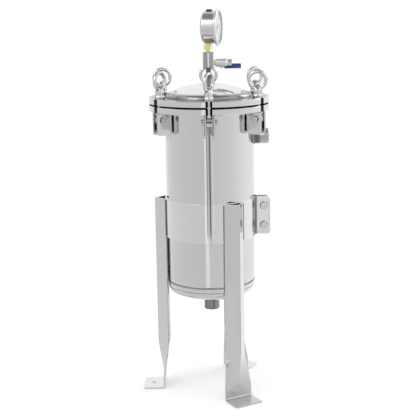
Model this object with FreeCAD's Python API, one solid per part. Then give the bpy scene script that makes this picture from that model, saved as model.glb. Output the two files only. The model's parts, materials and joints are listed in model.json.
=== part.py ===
"""Bag filter housing: a dished-lid pressure vessel on three angle legs.

Six swing bolts with eye nuts hold the lid. A strainer basket and a filter bag hang inside.
A pressure gauge and a small vent ball valve stand on the lid.

Units are millimetres. +Z is up, the vessel's axis is the Z axis and the feet stand on z = 0.
Azimuth 0 is the front, -Y, and azimuth 90 is the right-hand side, +X.
"""
import FreeCAD, Part
import os
from math import asin, cos, pi, radians, sin, sqrt

# Vessel
joint_height = 731.0        # floor to the plane between the two flanges
shell_radius = 109.5        # outside, a 219 mm tube
shell_wall = 3.0
seam_drop = 445.0           # joint plane to the weld between shell and bottom head
head_straight = 10.0        # straight skirt of the bottom head
head_crown = 219.0          # outside crown radius of the bottom head
head_knuckle = 22.0         # outside knuckle radius of the bottom head

# Flanges and lid
flange_width = 38.0         # shell's outside to the flange's rim
flange_thick = 15.0
flange_chamfer = 1.2
joint_gap = 3.0             # between the flange faces, taken up by the gasket
gasket_offset = 1.5         # shell's outside to the gasket's inner edge
gasket_width = 8.0
gasket_groove = 2.5         # depth of the groove in the body flange
dome_offset = 3.5           # dome's outside within the shell's
dome_wall = 3.0
dome_crown = 240.0
dome_knuckle = 10.0

# Swing bolts
bolt_count = 6
bolt_offset = 25.5          # shell's outside to the bolts
bolt_radius = 6.0
bolt_slot = 15.0            # width of the slots in the flange rims
bolt_tip = 50.0             # height of the bolt's tip above the joint plane
bolt_eye_radius = 12.5
bolt_eye_thick = 12.4
bolt_neck_radius = 8.0      # root of the shank inside the eye
bolt_neck_rise = 5.0        # shank's full taper above the eye
bolt_tip_ease = 1.5
pin_drop = 33.5             # joint plane to the hinge pin's axis
pin_radius = 5.0
pin_head_radius = 7.5
pin_head_thick = 6.0
pin_collar_radius = 7.0
pin_collar_gap = 1.0        # between ear and collar
pin_ease = 1.0
pin_clearance = 0.05        # radial, pin in the bolt's eye
thread_clearance = 0.06     # radial, bolt in its nut
washer_radius = 12.4
washer_thick = 2.5
washer_play = 0.3           # under the washer
washer_bore = 6.6
nut_play = 0.1              # between washer and eye nut

# Eye nuts
eye_boss_radius = 12.4
eye_boss_height = 25.5
eye_boss_ease = 1.0
eye_foot_height = 4.0       # collar at the nut's seat
eye_foot_step = 1.5
eye_flare = 9.0             # the boss narrows into the ring over this height
eye_ring_radius = 20.2      # to the middle of the ring's bar
eye_bar_radius = 4.5
eye_centre = 40.0           # ring's centre above the nut's seat
eye_facing = (62.0, -8.0, 32.0, 0.0, 12.0, 58.0)    # azimuth each ring faces, from the front one round

# Brackets under the body flange
bracket_gap = 15.0          # between the two ears
bracket_plate = 6.0
bracket_gap_inner = 3.0     # shell's outside to the inner edge
bracket_depth = 37.0        # inner to outer edge
bracket_drop = 70.0         # joint plane to the ears' lower edge
bracket_web_drop = 65.0
bracket_web = 5.0
bracket_corner = 7.0

# Side inlet and bottom outlet sockets
socket_radius = 19.3
socket_thread = 15.3        # minor radius of the one-inch thread
socket_thread_depth = 18.0
socket_bore = 13.0
socket_ease = 1.5
inlet_length = 37.0         # shell's outside to the inlet's face
inlet_drop = 83.0           # joint plane to the inlet's axis
outlet_drop = 526.0         # joint plane to the outlet's face

# Clamp band
band_top_drop = 234.5
band_height = 96.0
band_thick = 4.0
band_fit = 0.2              # between shell and band
band_gap = 12.0             # between the two ears of the band
band_ear_depth = 40.0       # shell's outside to the ears' edge
band_ear_chamfer = 8.0      # upper corner
band_ear_round = 7.0        # lower corner
band_bolt_inset = 16.0      # ears' edge to the bolts
band_bolt_pitch = 50.0
band_bolt_radius = 5.0
band_washer_radius = 10.0
band_washer_thick = 1.6
band_hex = 17.0             # across flats
band_hex_thick = 6.4
band_bolt_spare = 3.0       # thread past the nut

# Legs
leg_count = 3
leg_first = 30.0            # azimuth of the first leg
leg_angle = 39.0            # leg length of the angle section
leg_plate = 4.0
leg_seat = 1.4              # ground off the section's tips, so that they sit on the band
leg_flat_start = 118.0      # height where the section begins to open out
leg_flat_end = 30.0         # height where it is a flat plate
foot_offset = 17.7          # shell's outside to the flat plate's outer face
foot_width = 75.0
foot_length = 50.5
foot_bend = 5.0             # inside radius of the bend
foot_hole_radius = 5.5
foot_hole_reach = 27.0      # plate's outer face to the hole
foot_corner = 3.0

# Basket and bag
seat_drop = 112.0           # joint plane to the seat ring's top
seat_width = 16.5           # shell's inside to the ring's bore
seat_thick = 4.0
basket_clearance = 6.0      # between the ring's bore and the basket
basket_wall = 1.5
basket_depth = 325.0
basket_lap = 9.0            # rim over the seat ring
basket_rim_thick = 3.0
basket_play = 0.1
slot_columns = 12
slot_rows = 5
slot_width = 12.0
slot_length = 42.0
slot_pitch = 60.0
bag_gap = 1.0               # between bag and basket
bag_wall = 1.6
bag_round = 24.0
bag_ring_bar = 3.2

# Gauge port and adapter
port_radius = 12.0
port_height = 14.0
nipple_radius = 6.6
nipple_bore = 3.5
nipple_lift = 1.0           # dome's pole to the nipple's lower end
adapter_rise = 85.5         # joint plane up to the block's underside
adapter_height = 38.5
adapter_flats = 27.6
adapter_chamfer = 1.6
adapter_bore = 4.0
adapter_thread_depth = 13.0  # top, for the gauge
nipple_thread_depth = 8.0
screw_fit = 0.1             # radial, fixed threads in their holes

# Gauge
gauge_azimuth = 77.0        # the way its face looks
gauge_rise = 183.0          # joint plane to the case's centre
gauge_case_radius = 39.0
gauge_case_wall = 1.6
gauge_back = 11.5           # stem axis to the case's back
gauge_front = 24.0          # stem axis to the case's front edge
gauge_back_round = 7.0
bezel_width = 6.0           # case's outside to the bezel's
bezel_depth = 6.8
bezel_lap = 2.0             # bezel's back edge behind the case's front edge
bezel_lip = 5.5             # width of its face
bezel_roll = 3.0            # rounded front edge
bezel_ease = 2.0
bezel_fall = 0.5            # its face dips towards the window
window_thick = 2.5
dial_back = 8.5             # dial's face behind the bezel's front
dial_thick = 1.0
dial_fit = 0.2              # radial, dial in the case
pointer_length = 27.0
pointer_tail = 10.0
pointer_width = 3.2
pointer_thick = 0.8
pointer_lift = 1.5
pointer_zero = -45.0        # turns the pointer from straight down to zero, lower left
spindle_radius = 1.4
spindle_fit = 0.05
spindle_length = 4.0        # behind the dial's face
movement_width = 18.0
movement_back = 4.0         # case's back to the movement
stem_flats = 19.0
stem_height = 14.0
stem_corner = 30.0          # turn of the hexagon, so that two corners face left and right
stem_step = 1.0             # between the hexagon and the case
stem_bore = 1.5
stem_cap = 3.0              # closed end of the bore
stem_thread_radius = 6.4
stem_thread_length = 11.0
plug_radius = 8.0
plug_offset = 4.0           # stem axis to the plug's, towards the face
plug_height = 4.0
plug_lip = 2.0              # round the shank
plug_shank = 5.0

# Vent ball valve
valve_rise = 97.5           # joint plane to the valve's axis
valve_nipple = 4.0          # bare neck between block and body
valve_thread_length = 6.5
valve_thread_radius = 6.4
valve_radius = 9.8
valve_ease = 1.2
valve_length = 40.0
valve_hex = 15.4
valve_hex_length = 11.0
valve_taper = 4.0           # cone between body and hexagon
valve_ball_reach = 15.0      # body's start to the ball's centre
valve_bore = 2.6
valve_port_radius = 5.8
valve_port_depth = 8.0
ball_radius = 5.8
ball_play = 0.3
stem_tilt = 40.0            # stem's slope below the horizontal, towards the back
stem_radius = 3.0
stem_play = 0.05
stem_spare = 1.0            # past the lever's nut
gland_radius = 6.0
gland_height = 12.7         # valve axis to the gland's top
lever_thick = 2.0
lever_width = 8.0
lever_reach = 45.5          # stem to the lever's end
grip_start = 6.5            # stem to the grip
grip_thick = 2.2            # rubber round the lever
lever_nut_flats = 7.0
lever_nut_thick = 3.2
lever_play = 0.1

# Sizes that follow from the ones above
flange_radius = shell_radius + flange_width
gasket_inner = shell_radius + gasket_offset
dome_radius = shell_radius - dome_offset
bolt_circle = shell_radius + bolt_offset
bracket_inner = shell_radius + bracket_gap_inner
bracket_outer = bracket_inner + bracket_depth
inlet_reach = shell_radius + inlet_length
band_ear_reach = shell_radius + band_ear_depth
band_bolt_circle = band_ear_reach - band_bolt_inset
foot_radius = shell_radius + foot_offset
flange_top = joint_height - joint_gap / 2
flange_low = flange_top - flange_thick
lid_low = joint_height + joint_gap / 2
lid_top = lid_low + flange_thick
shell_inner = shell_radius - shell_wall
seat_inner = shell_inner - seat_width
basket_radius = seat_inner - basket_clearance
basket_rim = seat_inner + basket_lap
seam_z = joint_height - seam_drop
pin_z = joint_height - pin_drop
washer_z = lid_top + washer_play
nut_z = washer_z + washer_thick + nut_play
band_inner = shell_radius + band_fit
band_outer = band_inner + band_thick
band_top = joint_height - band_top_drop
band_low = band_top - band_height
inlet_z = joint_height - inlet_drop
seat_z = joint_height - seat_drop
adapter_z = joint_height + adapter_rise
valve_z = joint_height + valve_rise
gauge_z = joint_height + gauge_rise
bezel_radius = gauge_case_radius + bezel_width
bezel_front = gauge_front + bezel_depth - bezel_lap
dial_face = bezel_front - dial_back
body_start = adapter_flats / 2 + valve_nipple
ball_x = body_start + valve_ball_reach

X = FreeCAD.Vector(1, 0, 0)
Y = FreeCAD.Vector(0, 1, 0)
Z = FreeCAD.Vector(0, 0, 1)
ORIGIN = FreeCAD.Vector(0, 0, 0)


def outline(start, *steps):
    """Closed face in XZ. A step is a point for a straight run, or an arc's middle and end."""
    edges = []
    here = FreeCAD.Vector(start[0], 0, start[1])
    first = here
    for step in steps:
        if isinstance(step[0], tuple):
            (mx, mz), (ex, ez) = step
            there = FreeCAD.Vector(ex, 0, ez)
            edges.append(Part.Arc(here, FreeCAD.Vector(mx, 0, mz), there).toShape())
        else:
            there = FreeCAD.Vector(step[0], 0, step[1])
            edges.append(Part.makeLine(here, there))
        here = there
    if here.distanceToPoint(first) > 1e-6:
        edges.append(Part.makeLine(here, first))
    return Part.Face(Part.Wire(edges))


def turned(face):
    """Solid of revolution about the Z axis."""
    return face.revolve(ORIGIN, Z, 360)


def rod(radius, length, base=ORIGIN, direction=Z):
    return Part.makeCylinder(radius, length, base, direction)


def ring(inner, outer, low, high):
    """Plain ring about the Z axis."""
    return rod(outer, high - low, Z * low).cut(rod(inner, high - low, Z * low))


def block(low, high):
    """Box between two corners."""
    return Part.makeBox(high[0] - low[0], high[1] - low[1], high[2] - low[2], FreeCAD.Vector(*low))


def hexagon(flats, length, base=ORIGIN, direction=Z, corner=0.0):
    """Hexagonal bar. With the bar upright and corner 0, two flats face +X and -X."""
    points = []
    for k in range(7):
        angle = radians(30 + 60 * k + corner)
        points.append(FreeCAD.Vector(flats / sqrt(3) * cos(angle), flats / sqrt(3) * sin(angle), 0))
    bar = Part.Face(Part.makePolygon(points)).extrude(Z * length)
    bar.Placement = FreeCAD.Placement(base, FreeCAD.Rotation(Z, direction))
    return bar


def placed(shape, azimuth):
    """Turns a piece drawn towards +X round the vessel to its azimuth."""
    out = shape.copy()
    out.rotate(ORIGIN, Z, azimuth - 90)
    return out


def save(name, *solids):
    shape = solids[0] if len(solids) == 1 else Part.makeCompound(list(solids))
    shape.exportStep("parts/" + name + ".step")


def dished(radius, crown, knuckle, tangent, rise):
    """Outline points of a dished head from its tangent line to its pole; rise is 1 up or -1 down."""
    lean = asin((radius - knuckle) / (crown - knuckle))
    centre = tangent - rise * (crown - knuckle) * cos(lean)
    half = (pi / 2 + lean) / 2
    middle = (radius - knuckle + knuckle * sin(half), tangent + rise * knuckle * cos(half))
    joined = (crown * sin(lean), centre + rise * crown * cos(lean))
    over = (crown * sin(lean / 2), centre + rise * crown * cos(lean / 2))
    pole = (0, centre + rise * crown)
    return middle, joined, over, pole


def dished_shell(radius, crown, knuckle, wall, start, tangent, rise):
    """Dished head of even wall with a straight skirt from start to tangent."""
    outer = dished(radius, crown, knuckle, tangent, rise)
    inner = dished(radius - wall, crown - wall, knuckle - wall, tangent, rise)
    steps = []
    if abs(start - tangent) > 1e-6:
        steps.append((radius, tangent))
    steps += [(outer[0], outer[1]), (outer[2], outer[3]), inner[3], (inner[2], inner[1])]
    steps.append((inner[0], (radius - wall, tangent)))
    if abs(start - tangent) > 1e-6:
        steps.append((radius - wall, start))
    return turned(outline((radius, start), *steps))


head_pole = dished(shell_radius, head_crown, head_knuckle, seam_z - head_straight, -1)[3][1]
dome_pole = dished(dome_radius, dome_crown, dome_knuckle, lid_top, 1)[3][1]
bolt_azimuths = [360.0 / bolt_count * k for k in range(bolt_count)]
leg_azimuths = [leg_first + 360.0 / leg_count * k for k in range(leg_count)]


def socket(length):
    """Female threaded socket standing on z = 0, its face up."""
    shelf = length - socket_thread_depth
    ease = socket_ease
    return turned(outline((socket_bore, 0), (socket_radius, 0), (socket_radius, length - ease),
                          (socket_radius - ease, length), (socket_thread, length), (socket_thread, shelf),
                          (socket_bore, shelf)))


def make_shell():
    """Rolled tube with the inlet's hole."""
    tube = ring(shell_inner, shell_radius, seam_z, flange_low)
    hole = rod(socket_radius, shell_radius, FreeCAD.Vector(0, 0, inlet_z), X)
    return tube.cut(hole)


def make_head():
    tangent = seam_z - head_straight
    head = dished_shell(shell_radius, head_crown, head_knuckle, shell_wall, seam_z, tangent, -1)
    return head.cut(rod(socket_bore, head_crown, Z * (head_pole - shell_wall)))


def make_inlet():
    """Socket welded into the shell's side, trimmed flush with its inner face."""
    root = shell_inner - 2 * shell_wall
    body = socket(inlet_reach - root)
    body.rotate(ORIGIN, Y, 90)
    body.translate(FreeCAD.Vector(root, 0, inlet_z))
    return body.cut(rod(shell_inner, joint_height))


def make_outlet():
    """Socket under the bottom head, trimmed to the head's outside."""
    face_z = joint_height - outlet_drop
    root = head_pole + 2 * shell_wall
    body = socket(root - face_z)
    body.rotate(ORIGIN, Y, 180)
    body.translate(Z * root)
    return body.cut(Part.makeSphere(head_crown, Z * (head_pole + head_crown)))


def flange(low, inner):
    """Flat ring with eased rims and a slot for each swing bolt."""
    high = low + flange_thick
    ease = flange_chamfer
    plate = turned(outline((inner, low), (flange_radius - ease, low), (flange_radius, low + ease),
                           (flange_radius, high - ease), (flange_radius - ease, high), (inner, high)))
    for azimuth in bolt_azimuths:
        slot = rod(bolt_slot / 2, flange_thick, FreeCAD.Vector(bolt_circle, 0, low))
        mouth = block((bolt_circle, -bolt_slot / 2, low), (flange_radius + bolt_slot, bolt_slot / 2, high))
        plate = plate.cut(placed(slot.fuse(mouth).removeSplitter(), azimuth))
    return plate


def make_body_flange():
    groove = ring(gasket_inner, gasket_inner + gasket_width, flange_top - gasket_groove, flange_top)
    return flange(flange_low, shell_inner).cut(groove)


def make_gasket():
    """Square-section ring that fills its groove and the gap between the flanges."""
    return ring(gasket_inner, gasket_inner + gasket_width, flange_top - gasket_groove, lid_low)


def make_dome():
    dome = dished_shell(dome_radius, dome_crown, dome_knuckle, dome_wall, lid_top, lid_top, 1)
    return dome.cut(rod(nipple_bore, 4 * dome_wall, Z * (dome_pole - 2 * dome_wall)))


def make_bracket():
    """Two ears and a web, with the lower corners of the ears rounded."""
    low = joint_height - bracket_drop
    half = bracket_gap / 2 + bracket_plate
    side = bracket_corner * (1 - cos(pi / 4))
    ear = outline((bracket_inner, flange_low), (bracket_outer, flange_low),
                  (bracket_outer, low + bracket_corner),
                  ((bracket_outer - side, low + side), (bracket_outer - bracket_corner, low)),
                  (bracket_inner + bracket_corner, low),
                  ((bracket_inner + side, low + side), (bracket_inner, low + bracket_corner)))
    ears = ear.extrude(Y * bracket_plate)
    near = ears.translated(Y * -half)
    far = ears.translated(Y * (bracket_gap / 2))
    web = block((bracket_inner, -bracket_gap / 2, joint_height - bracket_web_drop),
                (bracket_inner + bracket_web, bracket_gap / 2, flange_low))
    body = near.fuse([far, web]).removeSplitter()
    bore = rod(pin_radius + pin_clearance, 4 * half, FreeCAD.Vector(bolt_circle, -2 * half, pin_z), Y)
    return body.cut(bore)


def make_pin():
    """Headed pin through a bracket, with a collar on its other end."""
    half = bracket_gap / 2 + bracket_plate
    end = half + pin_head_thick
    ease = pin_ease
    pin = turned(outline((0, -end), (pin_head_radius - ease, -end), (pin_head_radius, ease - end),
                         (pin_head_radius, -half), (pin_radius, -half), (pin_radius, half + pin_collar_gap),
                         (pin_collar_radius, half + pin_collar_gap), (pin_collar_radius, end - ease),
                         (pin_radius, end - ease), (pin_radius, end), (0, end)))
    pin.rotate(ORIGIN, X, -90)
    pin.translate(FreeCAD.Vector(bolt_circle, 0, pin_z))
    return pin


def make_swing_bolt():
    """Eye bolt standing on its pin."""
    length = joint_height + bolt_tip - pin_z
    ease = bolt_tip_ease
    eye = rod(bolt_eye_radius, bolt_eye_thick, FreeCAD.Vector(0, -bolt_eye_thick / 2, 0), Y)
    neck = turned(outline((0, 0), (bolt_neck_radius, 0), (bolt_radius, bolt_eye_radius + bolt_neck_rise),
                          (bolt_radius, length - ease), (bolt_radius - ease, length), (0, length)))
    trim = block((-bolt_eye_radius, -bolt_eye_thick / 2, 0), (bolt_eye_radius, bolt_eye_thick / 2, length))
    body = eye.fuse(neck.common(trim)).removeSplitter()
    body = body.cut(rod(pin_radius + pin_clearance, 2 * bolt_eye_thick, Y * -bolt_eye_thick, Y))
    body.translate(FreeCAD.Vector(bolt_circle, 0, pin_z))
    return body


def make_washer():
    washer = ring(washer_bore, washer_radius, washer_z, washer_z + washer_thick)
    washer.translate(X * bolt_circle)
    return washer


def make_eye_nut(turn):
    """Round boss that flares into the lifting ring, threaded right through."""
    ease = eye_boss_ease
    neck = eye_boss_radius - eye_foot_step
    boss = turned(outline((0, 0), (eye_boss_radius - ease, 0), (eye_boss_radius, ease),
                          (eye_boss_radius, eye_foot_height), (neck, eye_foot_height + eye_foot_step),
                          (neck, eye_boss_height - eye_flare), (eye_bar_radius + ease, eye_boss_height),
                          (0, eye_boss_height)))
    loop = Part.makeTorus(eye_ring_radius, eye_bar_radius)
    loop.rotate(ORIGIN, X, 90)
    loop.translate(Z * eye_centre)
    window = rod(eye_ring_radius - eye_bar_radius, 4 * eye_bar_radius,
                 FreeCAD.Vector(0, -2 * eye_bar_radius, eye_centre), Y)
    body = boss.cut(window).fuse(loop).removeSplitter()
    body = body.cut(rod(bolt_radius + thread_clearance, eye_centre))
    body.rotate(ORIGIN, Z, turn)
    body.translate(FreeCAD.Vector(bolt_circle, 0, nut_z))
    return body


def band_bolt_heights():
    middle = (band_top + band_low) / 2
    return [middle + side * band_bolt_pitch / 2 for side in (1, -1)]


def make_band():
    """Rolled strap split on the right, with an ear turned out at each end."""
    strap = ring(band_inner, band_outer, band_low, band_top)
    strap = strap.cut(block((0, -band_gap / 2, band_low), (2 * band_outer, band_gap / 2, band_top)))
    start = sqrt(band_inner ** 2 - (band_gap / 2) ** 2)
    cut = band_ear_chamfer
    curve = band_ear_round
    bend = curve * (1 - cos(pi / 4))
    plate = outline((start, band_low), (band_ear_reach - curve, band_low),
                    ((band_ear_reach - bend, band_low + bend), (band_ear_reach, band_low + curve)),
                    (band_ear_reach, band_top - cut), (band_ear_reach - cut, band_top), (start, band_top))
    for side in (-1, 1):
        ear = plate.extrude(Y * side * band_thick)
        ear.translate(Y * side * band_gap / 2)
        strap = strap.fuse(ear)
    strap = strap.removeSplitter()
    for height in band_bolt_heights():
        strap = strap.cut(rod(band_bolt_radius + screw_fit, 4 * band_gap,
                              FreeCAD.Vector(band_bolt_circle, -2 * band_gap, height), Y))
    return strap


def make_band_bolt(height):
    """Hexagon bolt across the ears, its head at the front."""
    seat = band_gap / 2 + band_thick
    length = 2 * (seat + band_washer_thick) + band_hex_thick + band_bolt_spare
    base = FreeCAD.Vector(band_bolt_circle, -seat - band_washer_thick, height)
    head = hexagon(band_hex, band_hex_thick, Z * -band_hex_thick)
    corner = band_hex / sqrt(3)
    ease = corner - band_hex / 2
    crown = turned(outline((0, -band_hex_thick), (corner - ease, -band_hex_thick),
                           (corner, ease / 2 - band_hex_thick), (corner, 0), (0, 0)))
    bolt = head.common(crown).fuse(rod(band_bolt_radius, length)).removeSplitter()
    bolt.Placement = FreeCAD.Placement(base, FreeCAD.Rotation(Z, Y))
    return bolt


def make_band_washers(height):
    """One washer under the bolt's head and one under its nut."""
    seat = band_gap / 2 + band_thick
    front = ring(band_bolt_radius + screw_fit, band_washer_radius, -seat - band_washer_thick, -seat)
    back = ring(band_bolt_radius + screw_fit, band_washer_radius, seat, seat + band_washer_thick)
    both = []
    for washer in (front, back):
        washer.rotate(ORIGIN, X, -90)
        washer.translate(FreeCAD.Vector(band_bolt_circle, 0, height))
        both.append(washer)
    return both


def make_band_nut(height):
    seat = band_gap / 2 + band_thick + band_washer_thick
    base = FreeCAD.Vector(band_bolt_circle, seat, height)
    nut = hexagon(band_hex, band_hex_thick, base, Y)
    return nut.cut(rod(band_bolt_radius + screw_fit, band_hex_thick, base, Y))


def angle_section(height):
    """Angle section, corner outwards, with the inner corners of its tips sunk in the band's circle."""
    spread = leg_angle / sqrt(2)
    thick = leg_plate * sqrt(2)
    tip = leg_plate / sqrt(2)
    apex = sqrt(band_outer ** 2 - (spread - tip) ** 2) - leg_seat + tip + spread
    return [FreeCAD.Vector(x, y, height) for x, y in (
        (apex, 0), (apex - spread, spread), (apex - spread - tip, spread - tip),
        (apex - thick, 0), (apex - spread - tip, tip - spread), (apex - spread, -spread))]


def flat_section(height):
    """The same six corners once the section is pressed flat."""
    half = foot_width / 2
    outer = foot_radius
    inner = foot_radius - leg_plate
    return [FreeCAD.Vector(x, y, height) for x, y in (
        (outer, 0), (outer, half), (inner, half), (inner, 0), (inner, -half), (outer, -half))]


def closed(points):
    return Part.makePolygon(points + [points[0]])


def make_leg():
    """Angle post, opened out near the floor and bent outwards into a drilled foot."""
    post = Part.Face(closed(angle_section(leg_flat_start))).extrude(Z * (band_top - leg_flat_start))
    sections = [closed(angle_section(leg_flat_start)), closed(flat_section(leg_flat_end))]
    opened = Part.makeLoft(sections, True, True)
    inner = foot_radius - leg_plate
    mid_in = foot_bend * (1 - cos(pi / 4))
    bend_out = foot_bend + leg_plate
    mid_out = bend_out * (1 - cos(pi / 4))
    reach = foot_radius + foot_length
    side = outline((foot_radius, leg_flat_end), (foot_radius, leg_plate + foot_bend),
                   ((foot_radius + mid_in, leg_plate + mid_in), (foot_radius + foot_bend, leg_plate)),
                   (reach, leg_plate), (reach, 0), (inner + bend_out, 0),
                   ((inner + mid_out, mid_out), (inner, bend_out)), (inner, leg_flat_end))
    foot = side.extrude(Y * foot_width)
    foot.translate(Y * -foot_width / 2)
    tips = [edge for edge in foot.Edges if edge.BoundBox.XMin > reach - leg_plate / 2]
    foot = foot.makeFillet(foot_corner, [edge for edge in tips if edge.BoundBox.ZLength > leg_plate / 2])
    foot = foot.cut(rod(foot_hole_radius, leg_plate, X * (foot_radius + foot_hole_reach)))
    body = post.fuse([opened, foot]).removeSplitter()
    return body.cut(rod(band_outer, band_height, Z * band_low))


def make_seat():
    """Ring welded inside the shell that carries the basket's rim."""
    return ring(seat_inner, shell_inner, seat_z - seat_thick, seat_z)


def make_basket():
    """Cup with a flat rim and rows of long holes."""
    low = seat_z - basket_depth
    top = seat_z + basket_play + basket_rim_thick
    inner = basket_radius - basket_wall
    cup = turned(outline((0, low), (basket_radius, low), (basket_radius, seat_z + basket_play),
                         (basket_rim, seat_z + basket_play), (basket_rim, top), (inner, top),
                         (inner, low + basket_wall), (0, low + basket_wall)))
    tools = []
    first = low + (basket_depth - slot_pitch * (slot_rows - 1)) / 2
    straight = (slot_length - slot_width) / 2
    for row in range(slot_rows):
        height = first + slot_pitch * row
        long_hole = block((0, -slot_width / 2, height - straight),
                          (2 * basket_radius, slot_width / 2, height + straight))
        for side in (1, -1):
            end = rod(slot_width / 2, 2 * basket_radius, Z * (height + side * straight), X)
            long_hole = long_hole.fuse(end)
        long_hole = long_hole.removeSplitter()
        for column in range(slot_columns):
            tools.append(placed(long_hole, 360.0 / slot_columns * (column + 0.5 * (row % 2))))
    return cup.cut(tools)


def make_bag():
    """Felt bag inside the basket, open at the top, with a round-cornered bottom."""
    outer = basket_radius - basket_wall - bag_gap
    low = seat_z - basket_depth + basket_wall + bag_gap
    top = seat_z + basket_play + basket_rim_thick
    inner = outer - bag_wall
    curve = bag_round
    bend = 1 - cos(pi / 4)
    small = curve - bag_wall
    floor = low + bag_wall
    return turned(outline((0, low), (outer - curve, low),
                          ((outer - curve * bend, low + curve * bend), (outer, low + curve)),
                          (outer, top), (inner, top), (inner, low + curve),
                          ((inner - small * bend, floor + small * bend), (inner - small, floor)),
                          (0, floor)))


def make_bag_ring():
    """Round ring sewn into the bag's mouth, resting on the basket's rim."""
    top = seat_z + basket_play + basket_rim_thick
    return Part.makeTorus(basket_radius, bag_ring_bar, Z * (top + bag_ring_bar + basket_play))


def make_port():
    """Half coupling welded on the dome."""
    bore = nipple_radius + screw_fit
    body = ring(bore, port_radius, dome_pole - 2 * dome_wall, dome_pole + port_height)
    return body.cut(Part.makeSphere(dome_crown, Z * (dome_pole - dome_crown)))


def make_nipple():
    """Close nipple between the port and the adapter block."""
    return ring(nipple_bore, nipple_radius, dome_pole + nipple_lift, adapter_z + nipple_thread_depth)


def make_adapter():
    """Hexagon block with the gauge on top, the nipple below and the vent valve in its right-hand flat."""
    body = hexagon(adapter_flats, adapter_height, Z * adapter_z)
    ease = adapter_chamfer
    wide = adapter_flats / sqrt(3)
    high = adapter_z + adapter_height
    body = body.common(turned(outline((0, adapter_z), (wide - 2 * ease, adapter_z),
                                      (wide, adapter_z + ease), (wide, high - ease),
                                      (wide - 2 * ease, high), (0, high))))
    body = body.cut(rod(adapter_bore, adapter_height, Z * adapter_z))
    body = body.cut(rod(nipple_radius + screw_fit, nipple_thread_depth, Z * adapter_z))
    thread_z = high - adapter_thread_depth
    body = body.cut(rod(stem_thread_radius + screw_fit, adapter_thread_depth, Z * thread_z))
    side = adapter_flats / 2 - valve_thread_length - screw_fit
    inlet = FreeCAD.Vector(side, 0, valve_z)
    body = body.cut(rod(valve_thread_radius + screw_fit, adapter_flats, inlet, X))
    return body.cut(rod(valve_bore, adapter_flats / 2, Z * valve_z, X))


def gauge_placed(shape):
    """Turns a piece drawn with the gauge's face up the Z axis to where the gauge looks."""
    out = shape.copy()
    out.rotate(ORIGIN, Y, 90)
    out.translate(Z * gauge_z)
    return placed(out, gauge_azimuth)


def make_case():
    """Drawn cup with a rounded back and holes for the stem and the filling plug."""
    wall = gauge_case_wall
    outer = gauge_case_radius
    curve = gauge_back_round
    bend = curve * (1 - cos(pi / 4))
    small = curve - wall
    dip = small * (1 - cos(pi / 4))
    inner = outer - wall
    back = -gauge_back
    cup = turned(outline((0, back), (outer - curve, back),
                         ((outer - bend, back + bend), (outer, back + curve)), (outer, gauge_front),
                         (inner, gauge_front), (inner, back + curve),
                         ((inner - dip, back + wall + dip), (outer - curve, back + wall)),
                         (0, back + wall)))
    cup.rotate(ORIGIN, Y, 90)
    cup.translate(Z * gauge_z)
    cup = placed(cup, gauge_azimuth)
    stem_hole = rod(stem_thread_radius + screw_fit, 2 * outer, Z * (gauge_z - 2 * outer))
    plug_hole = rod(plug_radius - plug_lip, 2 * outer, FreeCAD.Vector(plug_offset, 0, gauge_z))
    return cup.cut([stem_hole, placed(plug_hole, gauge_azimuth)])


def make_bezel():
    """Rolled ring that holds the window on the case."""
    low = gauge_front - bezel_lap
    high = bezel_front
    roll = bezel_roll
    dip = roll * (1 - cos(pi / 4))
    lip = bezel_radius - bezel_lip
    pane = gauge_front + window_thick
    face = outline((gauge_case_radius, low), (bezel_radius - bezel_ease, low),
                   (bezel_radius, low + bezel_ease), (bezel_radius, high - roll),
                   ((bezel_radius - dip, high - dip), (bezel_radius - roll, high)),
                   (lip, high - bezel_fall), (lip, pane), (gauge_case_radius, pane))
    return gauge_placed(turned(face))


def make_window():
    return gauge_placed(rod(gauge_case_radius, window_thick, Z * gauge_front))


def make_dial():
    low = dial_face - dial_thick
    disc = rod(gauge_case_radius - gauge_case_wall - dial_fit, dial_thick, Z * low)
    return gauge_placed(disc.cut(rod(spindle_radius + spindle_fit, dial_thick, Z * low)))


def make_pointer():
    """Tapered pointer with a tail, a cap and its spindle, at the dial's zero."""
    low = dial_face + pointer_lift
    half = pointer_width / 2
    blade = Part.Face(Part.makePolygon([FreeCAD.Vector(x, y, low) for x, y in (
        (pointer_length, 0), (0, half), (-pointer_tail, half), (-pointer_tail, -half), (0, -half),
        (pointer_length, 0))])).extrude(Z * pointer_thick)
    hub = rod(2 * spindle_radius, 2 * pointer_thick, Z * low)
    root = dial_face - spindle_length
    spindle = rod(spindle_radius, low - root, Z * root)
    body = blade.fuse([hub, spindle]).removeSplitter()
    body.rotate(ORIGIN, Z, pointer_zero)
    return gauge_placed(body)


def make_movement():
    """Movement block on the stem's top, right behind the dial, with the spindle's bearing."""
    top = dial_face - dial_thick
    half = movement_width / 2
    body = block((-half, -half, movement_back - gauge_back), (half, half, top))
    body = body.cut(rod(spindle_radius + spindle_fit, spindle_length, Z * (top - spindle_length)))
    return gauge_placed(body)


def make_stem():
    """Brass socket: hexagon under the case, a shank up into it and a thread down into the block."""
    hex_top = gauge_z - gauge_case_radius - stem_step
    low = adapter_z + adapter_height - stem_thread_length
    high = gauge_z - movement_width / 2
    hexes = hexagon(stem_flats, stem_height, Z * (hex_top - stem_height), Z, stem_corner)
    body = hexes.fuse(rod(stem_thread_radius, high - low, Z * low)).removeSplitter()
    return body.cut(rod(stem_bore, high - low - stem_cap, Z * low))


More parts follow.
